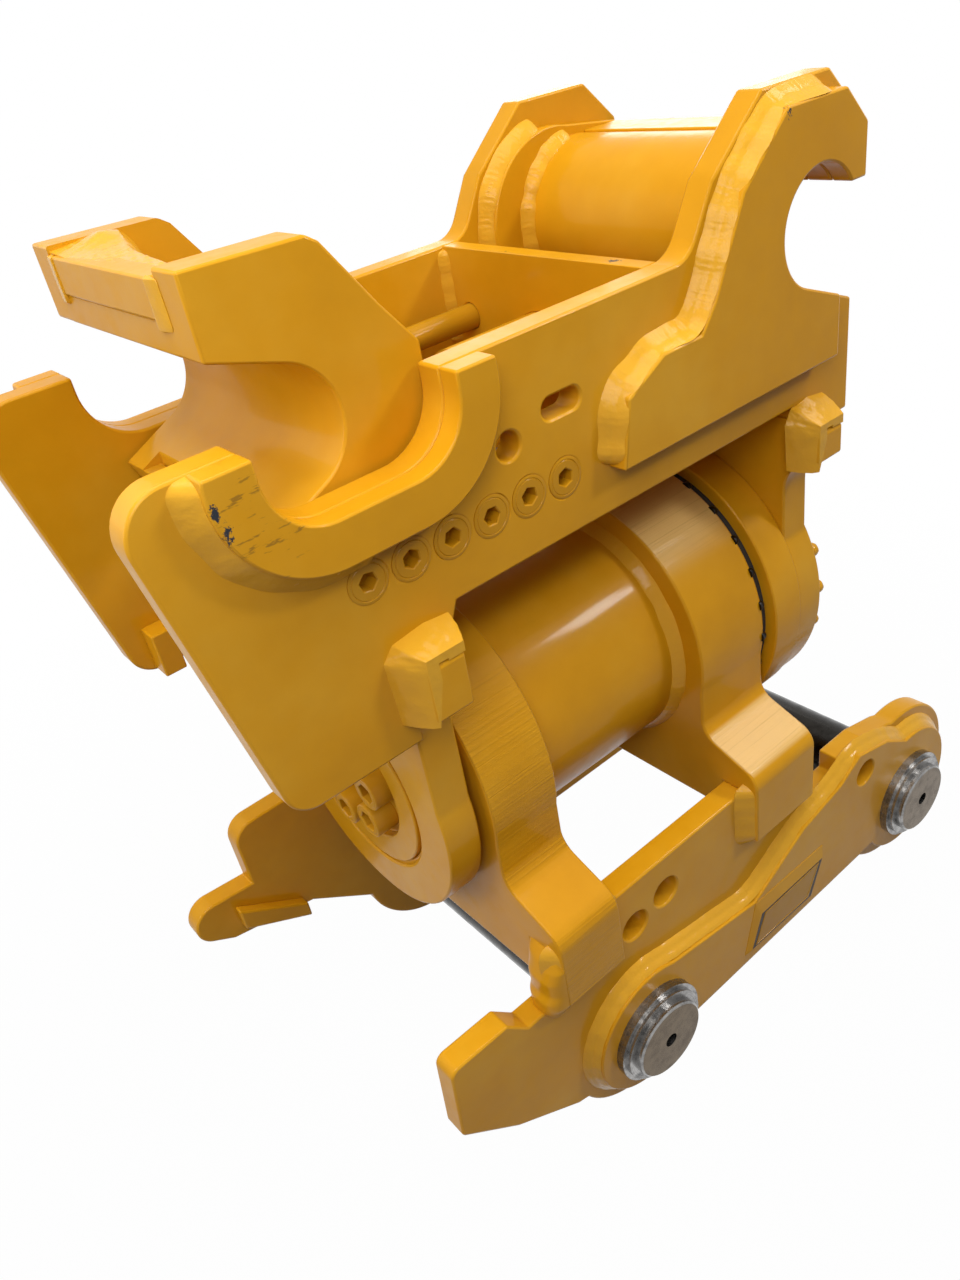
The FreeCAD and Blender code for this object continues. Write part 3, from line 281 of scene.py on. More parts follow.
def sky():
    """World that lights the object weakly and evenly."""
    world = bpy.data.worlds.new("studio")
    scene.world = world
    world.use_nodes = True
    parts, links = world.node_tree.nodes, world.node_tree.links
    dim = parts["Background"]
    dim.inputs["Color"].default_value = SKY_TINT
    dim.inputs["Strength"].default_value = SKY_STRENGTH
    white = parts.new("ShaderNodeBackground")
    white.inputs["Color"].default_value = WHITE
    blended(parts, links, seen(parts, links), dim.outputs["Background"], white.outputs["Background"],
            "World Output")


FLOOR_HALF = 12.0
FLOOR_GAP = 0.0005
FLOOR_SHADE = (0.17, 0.17, 0.17, 1.0)
FLOOR_ROUGHNESS = 0.9
# Between these distances from the origin, in metres, the floor's own shade fades from its share to none
SHADOW_FADE = (0.5, 1.5)
SHADOW_SHARE = 0.015


def floor():
    """Floor just under the lowest boss that keeps the object's soft shadow."""
    low = frame_box[0].z - FLOOR_GAP
    corners = [(x * FLOOR_HALF, y * FLOOR_HALF, low) for x, y in ((-1, -1), (1, -1), (1, 1), (-1, 1))]
    mesh = bpy.data.meshes.new("floor")
    mesh.from_pydata(corners, [], [(0, 1, 2, 3)])
    piece = bpy.data.objects.new("floor", mesh)
    scene.collection.objects.link(piece)
    material, parts, links, shader = new_material("pale_floor")
    shader.inputs["Base Color"].default_value = FLOOR_SHADE
    shader.inputs["Roughness"].default_value = FLOOR_ROUGHNESS
    glow = parts.new("ShaderNodeEmission")
    glow.inputs["Color"].default_value = WHITE
    place = parts.new("ShaderNodeTexCoord")
    reach = length_of(parts, links, place.outputs["Object"])
    clear = step(parts, links, reach, *SHADOW_FADE, 1.0 - SHADOW_SHARE, 1.0, kind="LINEAR")
    share = math_node(parts, links, "MULTIPLY", seen(parts, links), clear)
    blended(parts, links, share, shader.outputs["BSDF"], glow.outputs["Emission"], "Material Output")
    mesh.materials.append(material)


sky()
floor()

# Colours of paint and steel
AMBER = (0.620, 0.288, 0.007)
AMBER_DEEP = (0.525, 0.228, 0.003)
AMBER_PALE = (0.700, 0.375, 0.030)
# Painted highlight: pale tone mixed into the faces that look up, with flare
PLANED_TOP_HIGHLIGHT = (0.80, 0.58, 0.26)
SCRAPE = (0.240, 0.115, 0.012)
PRIMER = (0.028, 0.032, 0.042)
TURNED = ((0.060, 0.058, 0.056), (0.42, 0.41, 0.40))
# Painted shade: the pin bar is darkened between the cheeks, where the bracket shades it
SHAFT_SHADE = ((0.016, 0.014, 0.012), (0.034, 0.031, 0.027))
# Pin ends: brown of amber overspray, darkened as a painted reflection of a dark floor
PIN_END_OVERSPRAY_AND_REFLECTION = ((0.080, 0.052, 0.026), (0.120, 0.082, 0.042))
SEAL_BLACK = ((0.006, 0.006, 0.007), (0.016, 0.015, 0.015))

# Noise of each finish: scale per metre, detail and roughness
TONE = (5.0, 4.0, 0.6)
SPECKS = (60.0, 5.0, 0.65)
ORANGE_PEEL = (420.0, 2.0, 0.5)
WELD_LUMPS = (85.0, 3.0, 0.55)
STREAKS = (1.0, 3.0, 0.7)
SCRATCHES = (1.0, 3.0, 0.6)
RAGGED_EDGE = (260.0, 5.0, 0.75)
TURNING = (900.0, 3.0, 0.6)
STAINS = (70.0, 5.0, 0.65)
CLOUDS = (90.0, 5.0, 0.65)
METAL_GRAIN = (700.0, 2.0)
RUBBER_GRAIN = (300.0, 3.0)

# Roughness at the smooth and at the rough end of each finish
PAINT_ROUGHNESS = (0.30, 0.44)
WELD_ROUGHNESS = (0.16, 0.30)
TURNED_ROUGHNESS = 0.34


# Finishes
def planed_lines(parts, links, layers, colour, depth, flare):
    """Colour and bump of planed lines along X on upright faces, or on faces that look up, painted pale there
    as a highlight.
    """
    streak = noise(parts, links, place_of(parts, links, (5.0, 400.0, 400.0)), *STREAKS)
    side = math_node(parts, links, "ABSOLUTE", facing(parts, links, "X"))
    level = step(parts, links, facing(parts, links, "Z"), 0.60, 0.80, *((0.0, 1.0) if flare else (1.0, 0.0)))
    shown = math_node(parts, links, "MULTIPLY", step(parts, links, side, 0.45, 0.75, 1.0, 0.0), level)
    if flare:
        # Painted highlight on the faces that look up
        colour = mixed(parts, links, math_node(parts, links, "MULTIPLY", level, 0.55), colour, PLANED_TOP_HIGHLIGHT)
    layers.append((math_node(parts, links, "MULTIPLY", streak, shown), depth, 0.0012))
    tint = math_node(parts, links, "MULTIPLY", step(parts, links, streak, 0.50, 0.72, 0.0, 0.32), shown)
    return mixed(parts, links, tint, colour, tuple(c * 0.55 for c in AMBER))


def chipped(parts, links, vector, chips):
    """One where paint is knocked off: within radius of a place, on a ragged outline."""
    wear = None
    for x, y, z, radius in chips:
        gap = length_of(parts, links, place_of(parts, links, (1.6, 1.0, 0.8), (x * MM, y * MM, z * MM)))
        ragged = noise(parts, links, vector, *RAGGED_EDGE)
        edge = math_node(parts, links, "MULTIPLY", ragged, radius * MM * 3.6)
        reach = math_node(parts, links, "ADD", gap, edge)
        spot = step(parts, links, reach, radius * MM * 2.30, radius * MM * 2.36, 1.0, 0.0)
        wear = spot if wear is None else math_node(parts, links, "MAXIMUM", wear, spot)
    return wear


def scratched(parts, links, scuff):
    """One along fine slanting scratches near a place."""
    x, y, z, radius = scuff
    gap = length_of(parts, links, place_of(parts, links, centre=(x * MM, y * MM, z * MM)))
    near = step(parts, links, gap, radius * MM * 0.5, radius * MM, 1.0, 0.0)
    slant = place_of(parts, links, (70.0, 60.0, 300.0), turn=(0.0, math.radians(-14.0), 0.0))
    cut = step(parts, links, noise(parts, links, slant, *SCRATCHES), 0.60, 0.68, 0.0, 0.75)
    return math_node(parts, links, "MULTIPLY", cut, near)


def amber_paint(name, lines=0.0, weld=0.0, chips=(), scuff=None, shade=1.0, flare=False):
    """Glossy amber paint: orange peel, runs and faint dust over plate.

    lines is the depth of planed lines and weld the depth of weld texture, and a weld is also painted paler
    as a highlight; chips are (x, y, z, radius) places where the paint is knocked off, and scuff is such a
    place of fine scratches, in millimetres.
    With flare the lines lie on the faces that look up, which are painted paler as a highlight.
    """
    material, parts, links, shader = new_material(name)
    vector = place_of(parts, links)
    broad = noise(parts, links, vector, *TONE)
    fine = noise(parts, links, vector, *SPECKS)
    deep, mid, pale = (tuple(c * shade for c in tone) for tone in (AMBER_DEEP, AMBER, AMBER_PALE))
    colour = ramp(parts, links, broad, (0.28, deep), (0.50, mid), (0.75, pale))
    speck = ramp(parts, links, fine, (0.30, tuple(c * 0.93 for c in mid)), (0.62, mid))
    colour = mixed(parts, links, 0.35, colour, speck)
    peel = noise(parts, links, vector, *ORANGE_PEEL)
    layers = [(broad, 0.10, 0.004), (peel, 0.10, 0.0006)]
    if lines:
        colour = planed_lines(parts, links, layers, colour, lines, flare)
    if weld:
        layers.append((noise(parts, links, vector, *WELD_LUMPS), weld, 0.0022))
        # Painted highlight: weld beads are mixed towards the pale tone
        colour = mixed(parts, links, 0.65, colour, pale)
    if scuff:
        scrape = scratched(parts, links, scuff)
        colour = mixed(parts, links, scrape, colour, SCRAPE)
        layers.append((scrape, -0.30, 0.0008))
    if chips:
        wear = chipped(parts, links, vector, chips)
        colour = mixed(parts, links, wear, colour, PRIMER)
        layers.append((wear, -0.35, 0.0008))
    links.new(colour, shader.inputs["Base Color"])
    links.new(step(parts, links, fine, 0.35, 0.75, *(WELD_ROUGHNESS if weld else PAINT_ROUGHNESS)),
              shader.inputs["Roughness"])
    shader.inputs["Specular IOR Level"].default_value = 0.06
    shader.inputs["Coat Weight"].default_value = 0.14
    shader.inputs["Coat Roughness"].default_value = 0.10
    bumped(parts, links, shader, *layers)
    return material


def turned_steel(name, x, smooth=0.16, mottle=0.35, bar=False):
    """Bare steel with fine turning marks round a pin that lies along Y through (x, 0).

    With bar the steel is darkened between the cheeks as painted shade, and on the flat ends it is brown
    from amber overspray, darkened as a painted reflection of a dark floor.
    """
    material, parts, links, shader = new_material(name)
    reach = length_of(parts, links, place_of(parts, links, (1.0, 0.0, 1.0), (x, 0.0, 0.0)))
    vector = place_of(parts, links)
    level = axis_of(parts, links, vector, "Y")
    join = parts.new("ShaderNodeCombineXYZ")
    links.new(reach, join.inputs["X"])
    links.new(level, join.inputs["Y"])
    marks = noise(parts, links, join.outputs["Vector"], *TURNING)
    stain = noise(parts, links, vector, *STAINS)

    def stained(tones):
        return ramp(parts, links, stain, (0.34, tones[0]), (0.62, tones[1]))

    turning = ramp(parts, links, marks, (0.3, TURNED[0]), (0.7, TURNED[1]))
    colour = mixed(parts, links, mottle, stained(TURNED), turning)
    if bar:
        # Painted shade between the cheeks
        out = step(parts, links, math_node(parts, links, "ABSOLUTE", level),
                   (CHEEK_FACE - 4.0) * MM, CHEEK_FACE * MM)
        colour = mixed(parts, links, out, stained(SHAFT_SHADE), colour)
        # Painted reflection of a dark floor on the flat ends, over amber overspray
        end = step(parts, links, math_node(parts, links, "ABSOLUTE", facing(parts, links, "Y")), 0.70, 0.90)
        colour = mixed(parts, links, end, colour, stained(PIN_END_OVERSPRAY_AND_REFLECTION))
    links.new(colour, shader.inputs["Base Color"])
    links.new(step(parts, links, stain, 0.3, 0.7, TURNED_ROUGHNESS, smooth), shader.inputs["Roughness"])
    shader.inputs["Metallic"].default_value = 1.0
    bumped(parts, links, shader, (marks, 0.16, 0.0004), (stain, 0.05, 0.0006))
    return material


def plain_metal(name, dark, light, roughness=(0.22, 0.40)):
    """Metal with a faint cloudy finish."""
    material, parts, links, shader = new_material(name)
    vector = place_of(parts, links)
    cloud = noise(parts, links, vector, *CLOUDS)
    links.new(ramp(parts, links, cloud, (0.32, dark), (0.66, light)), shader.inputs["Base Color"])
    links.new(step(parts, links, cloud, 0.3, 0.7, *roughness), shader.inputs["Roughness"])
    shader.inputs["Metallic"].default_value = 1.0
    bumped(parts, links, shader, (noise(parts, links, vector, *METAL_GRAIN), 0.08, 0.0004))
    return material


def dull_rubber(name):
    """Matt black seal rubber with a fine grain."""
    material, parts, links, shader = new_material(name)
    grain = noise(parts, links, place_of(parts, links), *RUBBER_GRAIN)
    links.new(ramp(parts, links, grain, (0.3, SEAL_BLACK[0]), (0.7, SEAL_BLACK[1])),
              shader.inputs["Base Color"])
    links.new(step(parts, links, grain, 0.3, 0.7, 0.50, 0.72), shader.inputs["Roughness"])
    bumped(parts, links, shader, (grain, 0.15, 0.0005))
    return material


PAINT = amber_paint("amber_paint")
PAINT_PLANED = amber_paint("amber_paint_planed", lines=0.90)
# The right foot's top faces get a painted highlight
PAINT_FLARE = amber_paint("amber_paint_flare", lines=0.40, flare=True)
PAINT_FIELD = amber_paint("amber_paint_field", shade=0.72)
# Painted shade: near-black ring that stands for the shadow in a groove round the blank plate's field
PAINT_GROOVE_SHADE = amber_paint("amber_paint_groove_shade", shade=0.05)
# Weld beads carry a painted highlight in their paler colour
PAINT_WELD_HIGHLIGHT = amber_paint("amber_paint_weld_highlight", weld=0.45)
PAINT_FASTENER = amber_paint("amber_paint_fastener", shade=0.9)
PAINT_SCREW = amber_paint("amber_paint_screw", shade=0.85)
PAINT_ROD = amber_paint("amber_paint_rod", shade=0.7)
PAINT_DOUBLER = amber_paint("amber_paint_saddle", scuff=(-232, -175.5, 695, 52),
                            chips=((-259, -175.5, 716, 7), (-256, -175.5, 698, 8)))
PAINT_CROSS = amber_paint("amber_paint_cross", chips=((164, -92, 736, 8), (160, 40, 736, 3)))
PAINT_HOOK = amber_paint("amber_paint_hook", chips=((284, -175.5, 822, 7),))
PIN_X = {"front": 0.0, "rear": PIN_SPACING * MM}
PIN_BAR = {end: turned_steel("pin_steel_" + end, x, 0.14, 0.45, bar=True) for end, x in PIN_X.items()}
RING = {end: turned_steel("ring_steel_" + end, x) for end, x in PIN_X.items()}
GROUND = plain_metal("ground_steel", (0.55, 0.55, 0.56), (0.72, 0.72, 0.73), (0.10, 0.20))
SCREW = plain_metal("screw_steel", (0.10, 0.10, 0.10), (0.26, 0.25, 0.24))
# Painted shade: near-black steel for the screw heads that sit in the shaded gap at the hub
SCREW_GAP_SHADE = plain_metal("screw_steel_gap_shade", (0.010, 0.010, 0.011), (0.045, 0.043, 0.042), (0.30, 0.48))
RUBBER = dull_rubber("seal_rubber")
BRONZE = plain_metal("bearing_bronze", (0.42, 0.25, 0.09), (0.60, 0.40, 0.17))
SLOT_FINISH = {
    "amber_paint": PAINT,
    "pin_steel": PIN_BAR["front"],
    "ring_steel": RING["front"],
    "ground_steel": GROUND,
    "screw_steel": SCREW,
    "seal_rubber": RUBBER,
    "bearing_bronze": BRONZE,
}
NODE_FINISH = {
    "left_foot": PAINT_PLANED,
    "right_foot": PAINT_FLARE,
    "near_saddle_doubler": PAINT_DOUBLER,
    "cross_plate": PAINT_CROSS,
    "near_hook_doubler": PAINT_HOOK,
    "rear_pin": PIN_BAR["rear"],
    "rear_pin_bushes": RING["rear"],
    "rear_pin_rings": RING["rear"],
    "rear_pin_collars": RING["rear"],
    "guide_rods": PAINT_ROD,
}
for node, thing in nodes.items():
    thing.data.materials.clear()
    thing.data.materials.append(NODE_FINISH.get(node, SLOT_FINISH[node_slot[node]]))


# Plates with softened edges
MERGE_GAP = 2e-6
CUT_GAP = 1e-6
FLAT_TURN = math.radians(0.6)
EDGE_TURN = math.radians(32.0)


def softened(node, width, keep=(), wide=None, cuts=()):
    """A CAD node's own shape with its sharp edges rounded over, as cut and painted plate has.

    The node's mesh is copied, its doubles are merged and its flat triangles joined before the bevel.
    Boxes are a low and a high corner in millimetres. Edges inside one of the keep boxes stay sharp, and
    edges inside the box of wide are rounded over its third value.
    Large flat faces are divided at each x of cuts, so that they stay simple.
    """
    mesh = nodes[node].data.copy()
    work = bmesh.new()
    work.from_mesh(mesh)
    bmesh.ops.remove_doubles(work, verts=work.verts, dist=MERGE_GAP)
    bmesh.ops.dissolve_limit(work, angle_limit=FLAT_TURN, verts=work.verts, edges=work.edges)
    for x in cuts:
        bmesh.ops.bisect_plane(work, geom=[*work.verts, *work.edges, *work.faces], dist=CUT_GAP,
                               plane_co=(x * MM, 0, 0), plane_no=(1, 0, 0))
    weight = work.edges.layers.float.new("bevel_weight_edge")
    full = wide[2] if wide else width

    def inside(edge, low, high):
        return all(low[i] * MM <= vert.co[i] <= high[i] * MM for vert in edge.verts for i in range(3))

    for edge in work.edges:
        if len(edge.link_faces) == 2 and edge.calc_face_angle() > EDGE_TURN:
            edge[weight] = width / full
            if any(inside(edge, *box) for box in keep):
                edge[weight] = 0.0
            if wide and inside(edge, *wide[:2]):
                edge[weight] = 1.0
    for face in work.faces:
        face.smooth = True
    work.to_mesh(mesh)
    work.free()
    mesh.set_sharp_from_angle(angle=EDGE_TURN)
    piece = bpy.data.objects.new(node + "_edges", mesh)
    scene.collection.objects.link(piece)
    bevel = piece.modifiers.new("softened", "BEVEL")
    bevel.width = full * MM
    bevel.segments = 4 if wide else 2
    bevel.limit_method = "WEIGHT"
    bevel.use_clamp_overlap = False
    weighted = piece.modifiers.new("flat_faces_flat", "WEIGHTED_NORMAL")
    weighted.mode = "FACE_AREA"
    weighted.weight = 100
    weighted.keep_sharp = True
    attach(piece, nodes[node]["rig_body"])
    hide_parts(node)


# Width of the rounding of each plate, in millimetres
SOFT_EDGES = {
    "near_saddle_doubler": 1.8, "far_saddle_doubler": 1.8,
    "near_hook_doubler": 2.0, "far_hook_doubler": 2.0, "near_cheek": 2.2, "far_cheek": 2.2,
    "near_boss_plate": 1.6, "far_boss_plate": 1.6, "right_foot": 2.2,
    "left_ear": 2.0, "right_ear": 2.0, "cross_plate": 1.2, "hub_flange": 1.6, "end_cap": 1.4,
    "mouth_guide_plate": 1.2, "stop_bar": 2.5, "stop_lug": 1.5, "hook_nose_plate": 1.5,
    "hook_lip_plate": 1.2, "near_mouth_doubler": 1.5, "far_mouth_doubler": 1.5, "ear_bolts": 3.2,
}
for node, width in SOFT_EDGES.items():
    softened(node, width)

# Where the throat plate meets the lock plates the edges stay sharp
LOCK_SEAM, SEAM_HALF = 94.0, 1.5
SEAMS = [((-400, y - SEAM_HALF, 500), (0, y + SEAM_HALF, 900)) for y in (-LOCK_SEAM, LOCK_SEAM)]
for node, width in (("near_lock_plate", 2.0), ("far_lock_plate", 2.0), ("throat_plate", 1.2)):
    softened(node, width, keep=SEAMS)

# The side plates are cut between their holes, and the seats of their screws stay sharp
SIDE_CUTS = (-230, -190, -143, -105.7, -67.5, -29.3, 9, 58, 120, 225, 300)
SCREW_SEATS = {"near": ((-200, -160, 588), (60, -120, 637)), "far": ((-200, 120, 588), (60, 160, 637))}
for name, seats in SCREW_SEATS.items():
    softened(name + "_side_plate", 2.2, keep=(seats,), cuts=SIDE_CUTS)

# The left foot's lower left edge is rounded over more
softened("left_foot", 2.2, wide=((-106, -179, 146), (-104, 179, 150), 4.5))


# New surfaces
class Pile:
    """Points and faces of one piece, gathered from grids of points in millimetres."""

    def __init__(self):
        self.points, self.faces, self.count = [], [], 0

    def grid(self, points, loop=False):
        """Adds a closed skin over a grid of points (rows, columns, 3).

        Each point is joined to its neighbours in its row and column, and the last column to the
        first. loop joins the last row to the first, and otherwise a fan of triangles round the mean
        of each end row closes it. The faces are turned so that the skin's volume, the sum of
        first · (second x third) / 6 over its triangles, comes out positive.
        """
        rows, columns = points.shape[:2]
        index = np.arange(rows * columns).reshape(rows, columns)
        low, high = (index, np.roll(index, -1, axis=0)) if loop else (index[:-1], index[1:])
        ahead_low, ahead_high = np.roll(low, -1, axis=1), np.roll(high, -1, axis=1)
        quads = np.stack((low, ahead_low, ahead_high, high), axis=-1).reshape(-1, 4)
        flat = points.reshape(-1, 3)
        fans = np.empty((0, 3), int)
        if not loop:
            ends = []
            for row in (index[0][::-1], index[-1]):
                middle = len(flat)
                flat = np.vstack((flat, flat[row].mean(axis=0)))
                ends.append(np.stack((row, np.roll(row, -1), np.full(columns, middle)), axis=-1))
            fans = np.vstack(ends)
        triangles = np.vstack((quads[:, (0, 1, 2)], quads[:, (0, 2, 3)], fans))
        first, second, third = (flat[triangles[:, i]] for i in range(3))
        if np.einsum("ij,ij->i", first, np.cross(second, third)).sum() < 0:
            quads, fans = quads[:, ::-1], fans[:, ::-1]
        self.points.append(flat)
        self.faces += (quads + self.count).tolist() + (fans + self.count).tolist()
        self.count += len(flat)

    def piece(self, name, body, material, slot_name, replaced=(), sharp=40.0):
        """The piece itself, riding on its body."""
        mesh = bpy.data.meshes.new(name)
        mesh.from_pydata((np.vstack(self.points) * MM).tolist(), [], self.faces)
        mesh.polygons.foreach_set("use_smooth", np.ones(len(self.faces), bool))
        mesh.set_sharp_from_angle(angle=math.radians(sharp))
        mesh.materials.append(material)
        thing = bpy.data.objects.new(name, mesh)
        scene.collection.objects.link(thing)
        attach(thing, body)
        if replaced:
            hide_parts(*replaced)


def rounded(points, radius, pitch=1.7):
    """Even points along a polyline whose corners are quadratic curves, cut in by radius."""
    points = np.array(points, float)
    runs = [points[:1]]
    share = np.linspace(0.0, 1.0, 12)[:, None]
    for before, corner, after in zip(points[:-2], points[1:-1], points[2:]):
        cuts = []
        for end in (before, after):
            away = end - corner
            length = np.linalg.norm(away)
            cuts.append(corner + away / length * min(radius, length * 0.48))
        runs.append((1 - share) ** 2 * cuts[0] + 2 * share * (1 - share) * corner + share ** 2 * cuts[1])
    runs.append(points[-1:])
    return even(np.vstack(runs), pitch)


def even(line, pitch=1.7):
    """The same line with points spaced evenly, about pitch apart."""
    step_length = np.linalg.norm(np.diff(line, axis=0), axis=1)
    reach = np.concatenate(([0.0], np.cumsum(step_length)))
    count = max(int(reach[-1] / pitch), 4)
    at = np.linspace(0.0, reach[-1], count + 1)
    return np.stack([np.interp(at, reach, line[:, i]) for i in range(line.shape[1])], axis=1)


def arc(centre, radius, start, end, count=60):
    """Points on a circle, (a, b) = centre + radius · (cos, sin), from start to end degrees."""
    turn = np.radians(np.linspace(start, end, count))
    return np.stack((centre[0] + radius * np.cos(turn), centre[1] + radius * np.sin(turn)), axis=1)


BEAD_STEPS = 13
GROOVE_ANGLE, GROOVE_WIDTH = 46.0, 8.0
BEAD_DIP = 1.2


def bead(pile, path, first, second, legs, seed, ripple=0.12, wobble=0.05, closed=False, pitch=4.2,
         power=1.7, groove=0.0, nose=0.8):
    """Weld bead laid along a corner between two faces.

    first and second are unit directions that lie in the two faces and point away from the corner.
    The seen skin at angle a, from 0 to 90 degrees, stands legs[0] · cos(a)^power along first and
    legs[1] · sin(a)^power along second, so that a power of 2 makes a flat face, and the hidden side
    dips a little into the plates. The size swells slowly by wobble, the sum of four sines of seeded
    length and phase, and ripples every pitch mm, where the middle of the bead trails behind its
    toes. A groove of that depth parts two passes. Open ends close in a round nose.
    """
    chance = np.random.default_rng(abs(seed))
    length = np.concatenate(([0.0], np.cumsum(np.linalg.norm(np.diff(path, axis=0), axis=1))))
    total = length[-1] + (np.linalg.norm(path[0] - path[-1]) if closed else 0.0)
    waves = np.maximum(np.round(total / chance.uniform(18.0, 90.0, 4)), 1.0)
    phases = chance.uniform(0.0, 2 * np.pi, 4)
    swell = np.sin(2 * np.pi * length[:, None] / total * waves + phases).sum(axis=1) / 2.5
    size = 1.0 + wobble * swell
    if not closed:
        near_end = np.clip(np.minimum(length, total - length) / (nose * max(legs)), 0.0, 1.0)
        size = size * np.maximum(np.sqrt(1.0 - (1.0 - near_end) ** 2), 0.06)
    angle = np.radians(np.linspace(0.0, 90.0, BEAD_STEPS))
    middle = np.sin(2 * angle)
    count = max(round(total / pitch), 1)
    jitter = 0.25 * np.sin(2 * np.pi * length[:, None] / total * waves[:1] * 3.0)
    wave = np.cos(2 * np.pi * (length[:, None] / total * count + 0.45 * middle + jitter))
    lift = ripple * wave * (0.35 + 0.65 * middle)
    lift = lift - groove * np.exp(-((np.degrees(angle) - GROOVE_ANGLE) / GROOVE_WIDTH) ** 2)
    out = np.maximum(np.cos(angle), 0.0) ** power * legs[0]
    up = np.sin(angle) ** power * legs[1]
    norm = np.hypot(out, up)
    out = size[:, None] * out + lift * out / norm
    up = size[:, None] * up + lift * up / norm
    dip = -BEAD_DIP * size[:, None]
    out = np.hstack((out, dip, dip, out[:, :1] * 0.9))
    up = np.hstack((up, up[:, -1:] * 0.9, dip, dip))
    skin = path[:, None, :] + out[..., None] * first[:, None, :] + up[..., None] * second[:, None, :]
    pile.grid(skin, loop=closed)


def plate_bead(pile, line, face, side, legs, seed, turn=1.0, inward=False, **options):
    """Bead along a line (x, z) on the plate face |Y| = face, by a plate laid on it.

    turn chooses the side of the line, and inward means that the laid plate faces the middle.
    """
    ahead = np.gradient(line, axis=0)
    ahead = ahead / np.linalg.norm(ahead, axis=1, keepdims=True)
    level = np.full(len(line), side * face)
    zero = np.zeros(len(line))
    path = np.stack((line[:, 0], level, line[:, 1]), axis=1)
    first = np.stack((-ahead[:, 1], zero, ahead[:, 0]), axis=1) * turn
    second = np.stack((zero, np.full(len(line), float(-side if inward else side)), zero), axis=1)
    bead(pile, path, first, second, legs, seed, **options)


def straight_bead(pile, start, end, first, second, legs, seed, **options):
    """Bead along a straight corner."""
    path = even(np.array([start, end], float))
    bead(pile, path, np.tile(np.array(first, float), (len(path), 1)),
         np.tile(np.array(second, float), (len(path), 1)), legs, seed, **options)


def tube_bead(pile, x, radius, towards, legs, seed, **options):
    """Bead round the tilt axis at one x, where a tube of that radius meets an upright face."""
    ring = arc((0.0, TILT_HEIGHT), radius, 0.0, 360.0, int(radius * 3.6))[:-1]
    zero = np.zeros(len(ring))
    path = np.stack((np.full(len(ring), x), ring[:, 0], ring[:, 1]), axis=1)
    out = (path - np.array([x, 0.0, TILT_HEIGHT])) / radius
    along = np.stack((zero + towards, zero, zero), axis=1)
    bead(pile, path, along, out, legs, seed, closed=True, **options)


COLLAR_START = SIDE_FACE - 1.0
COLLAR_DEPTH = 28.1
COLLAR_BULGE = 1.6
COLLAR_ROUGH = 0.22
COLLAR_HEART = 0.25


def collar(pile, side, inner, outer):
    """Flat-faced weld between two lines: inner (x, z) on the side plate, outer on an ear tab's edge.

    Each row joins two matching points with a straight line that bulges by up to COLLAR_BULGE, with a
    small sum of sines added, and hidden lines drawn in towards the tab's middle close it.
    """
    share = np.linspace(0.0, 1.0, 6)
    fine = np.linspace(0.0, 1.0, 70)
    lines = [np.stack([np.interp(fine, share, [point[i] for point in line]) for i in (0, 1)], axis=1)
             for line in (inner, outer)]
    heart = lines[1].mean(axis=0)
    across = np.linspace(0.0, 1.0, 11)[None, :, None]
    flat = lines[0][:, None] * (1 - across) + lines[1][:, None] * across
    push = flat - heart
    push = push / np.linalg.norm(push, axis=2, keepdims=True)
    row = fine[:, None, None]
    rough = (np.sin(row * 41.0 + across * 9.0) + np.sin(row * 67.0 - across * 6.0)
             + np.sin(row * 23.0 + across * 17.0)) * COLLAR_ROUGH
    flat = flat + push * (COLLAR_BULGE + rough) * np.sin(np.pi * across)
    depth = np.broadcast_to(side * (COLLAR_START + COLLAR_DEPTH * across), (len(fine), across.size, 1))
    inside = heart + (flat[:, ::-1] - heart) * COLLAR_HEART
    skin, hidden = (np.concatenate((line[..., :1], y, line[..., 1:]), axis=2)
                    for line, y in ((flat, depth), (inside, depth[:, ::-1])))
    pile.grid(np.concatenate((skin, hidden), axis=1))


# Welds of the tilting frame. Lines are (x, z) in millimetres.
GUIDE_FACE, LINER_FACE = 130.5, 115.5
HOOK_EDGE = rounded([(74, 605), (85, 660), (127, 682), (172, 682), (190, 704), (227, 776.5),
                     (283, 826), (352, 826)], 14.0)
SADDLE_EDGE = even(np.vstack((arc(THROAT, 82.0, 171.0, 270.0), [(-150.0, 640.0)])))
LEFT_TAB = ([(-166, 486), (-169, 544), (-158, 556), (-128, 560), (-104, 557), (-103, 540)],
            [(-148.6, 486), (-148.6, 538), (-148.6, 547.0), (-132, 547.0), (-113.3, 547.0), (-113.3, 538)])
RIGHT_TAB = ([(312, 500), (309, 548), (318, 562), (342, 566), (366, 562), (364, 545)],
             [(325.4, 500), (325.4, 538), (325.4, 547.0), (342, 547.0), (361.8, 547.0), (361.8, 538)])
OUTER_MOUTH = even(arc((300.0, 725.0), 88.0, 95.0, 215.0))
INNER_MOUTH = even(arc(MOUTH, 75.0, 97.0, 203.0))
CROSS_FACE, CROSS_LOW, CROSS_HIGH = 155, 640, 733
frame_welds, mouth_welds = Pile(), Pile()
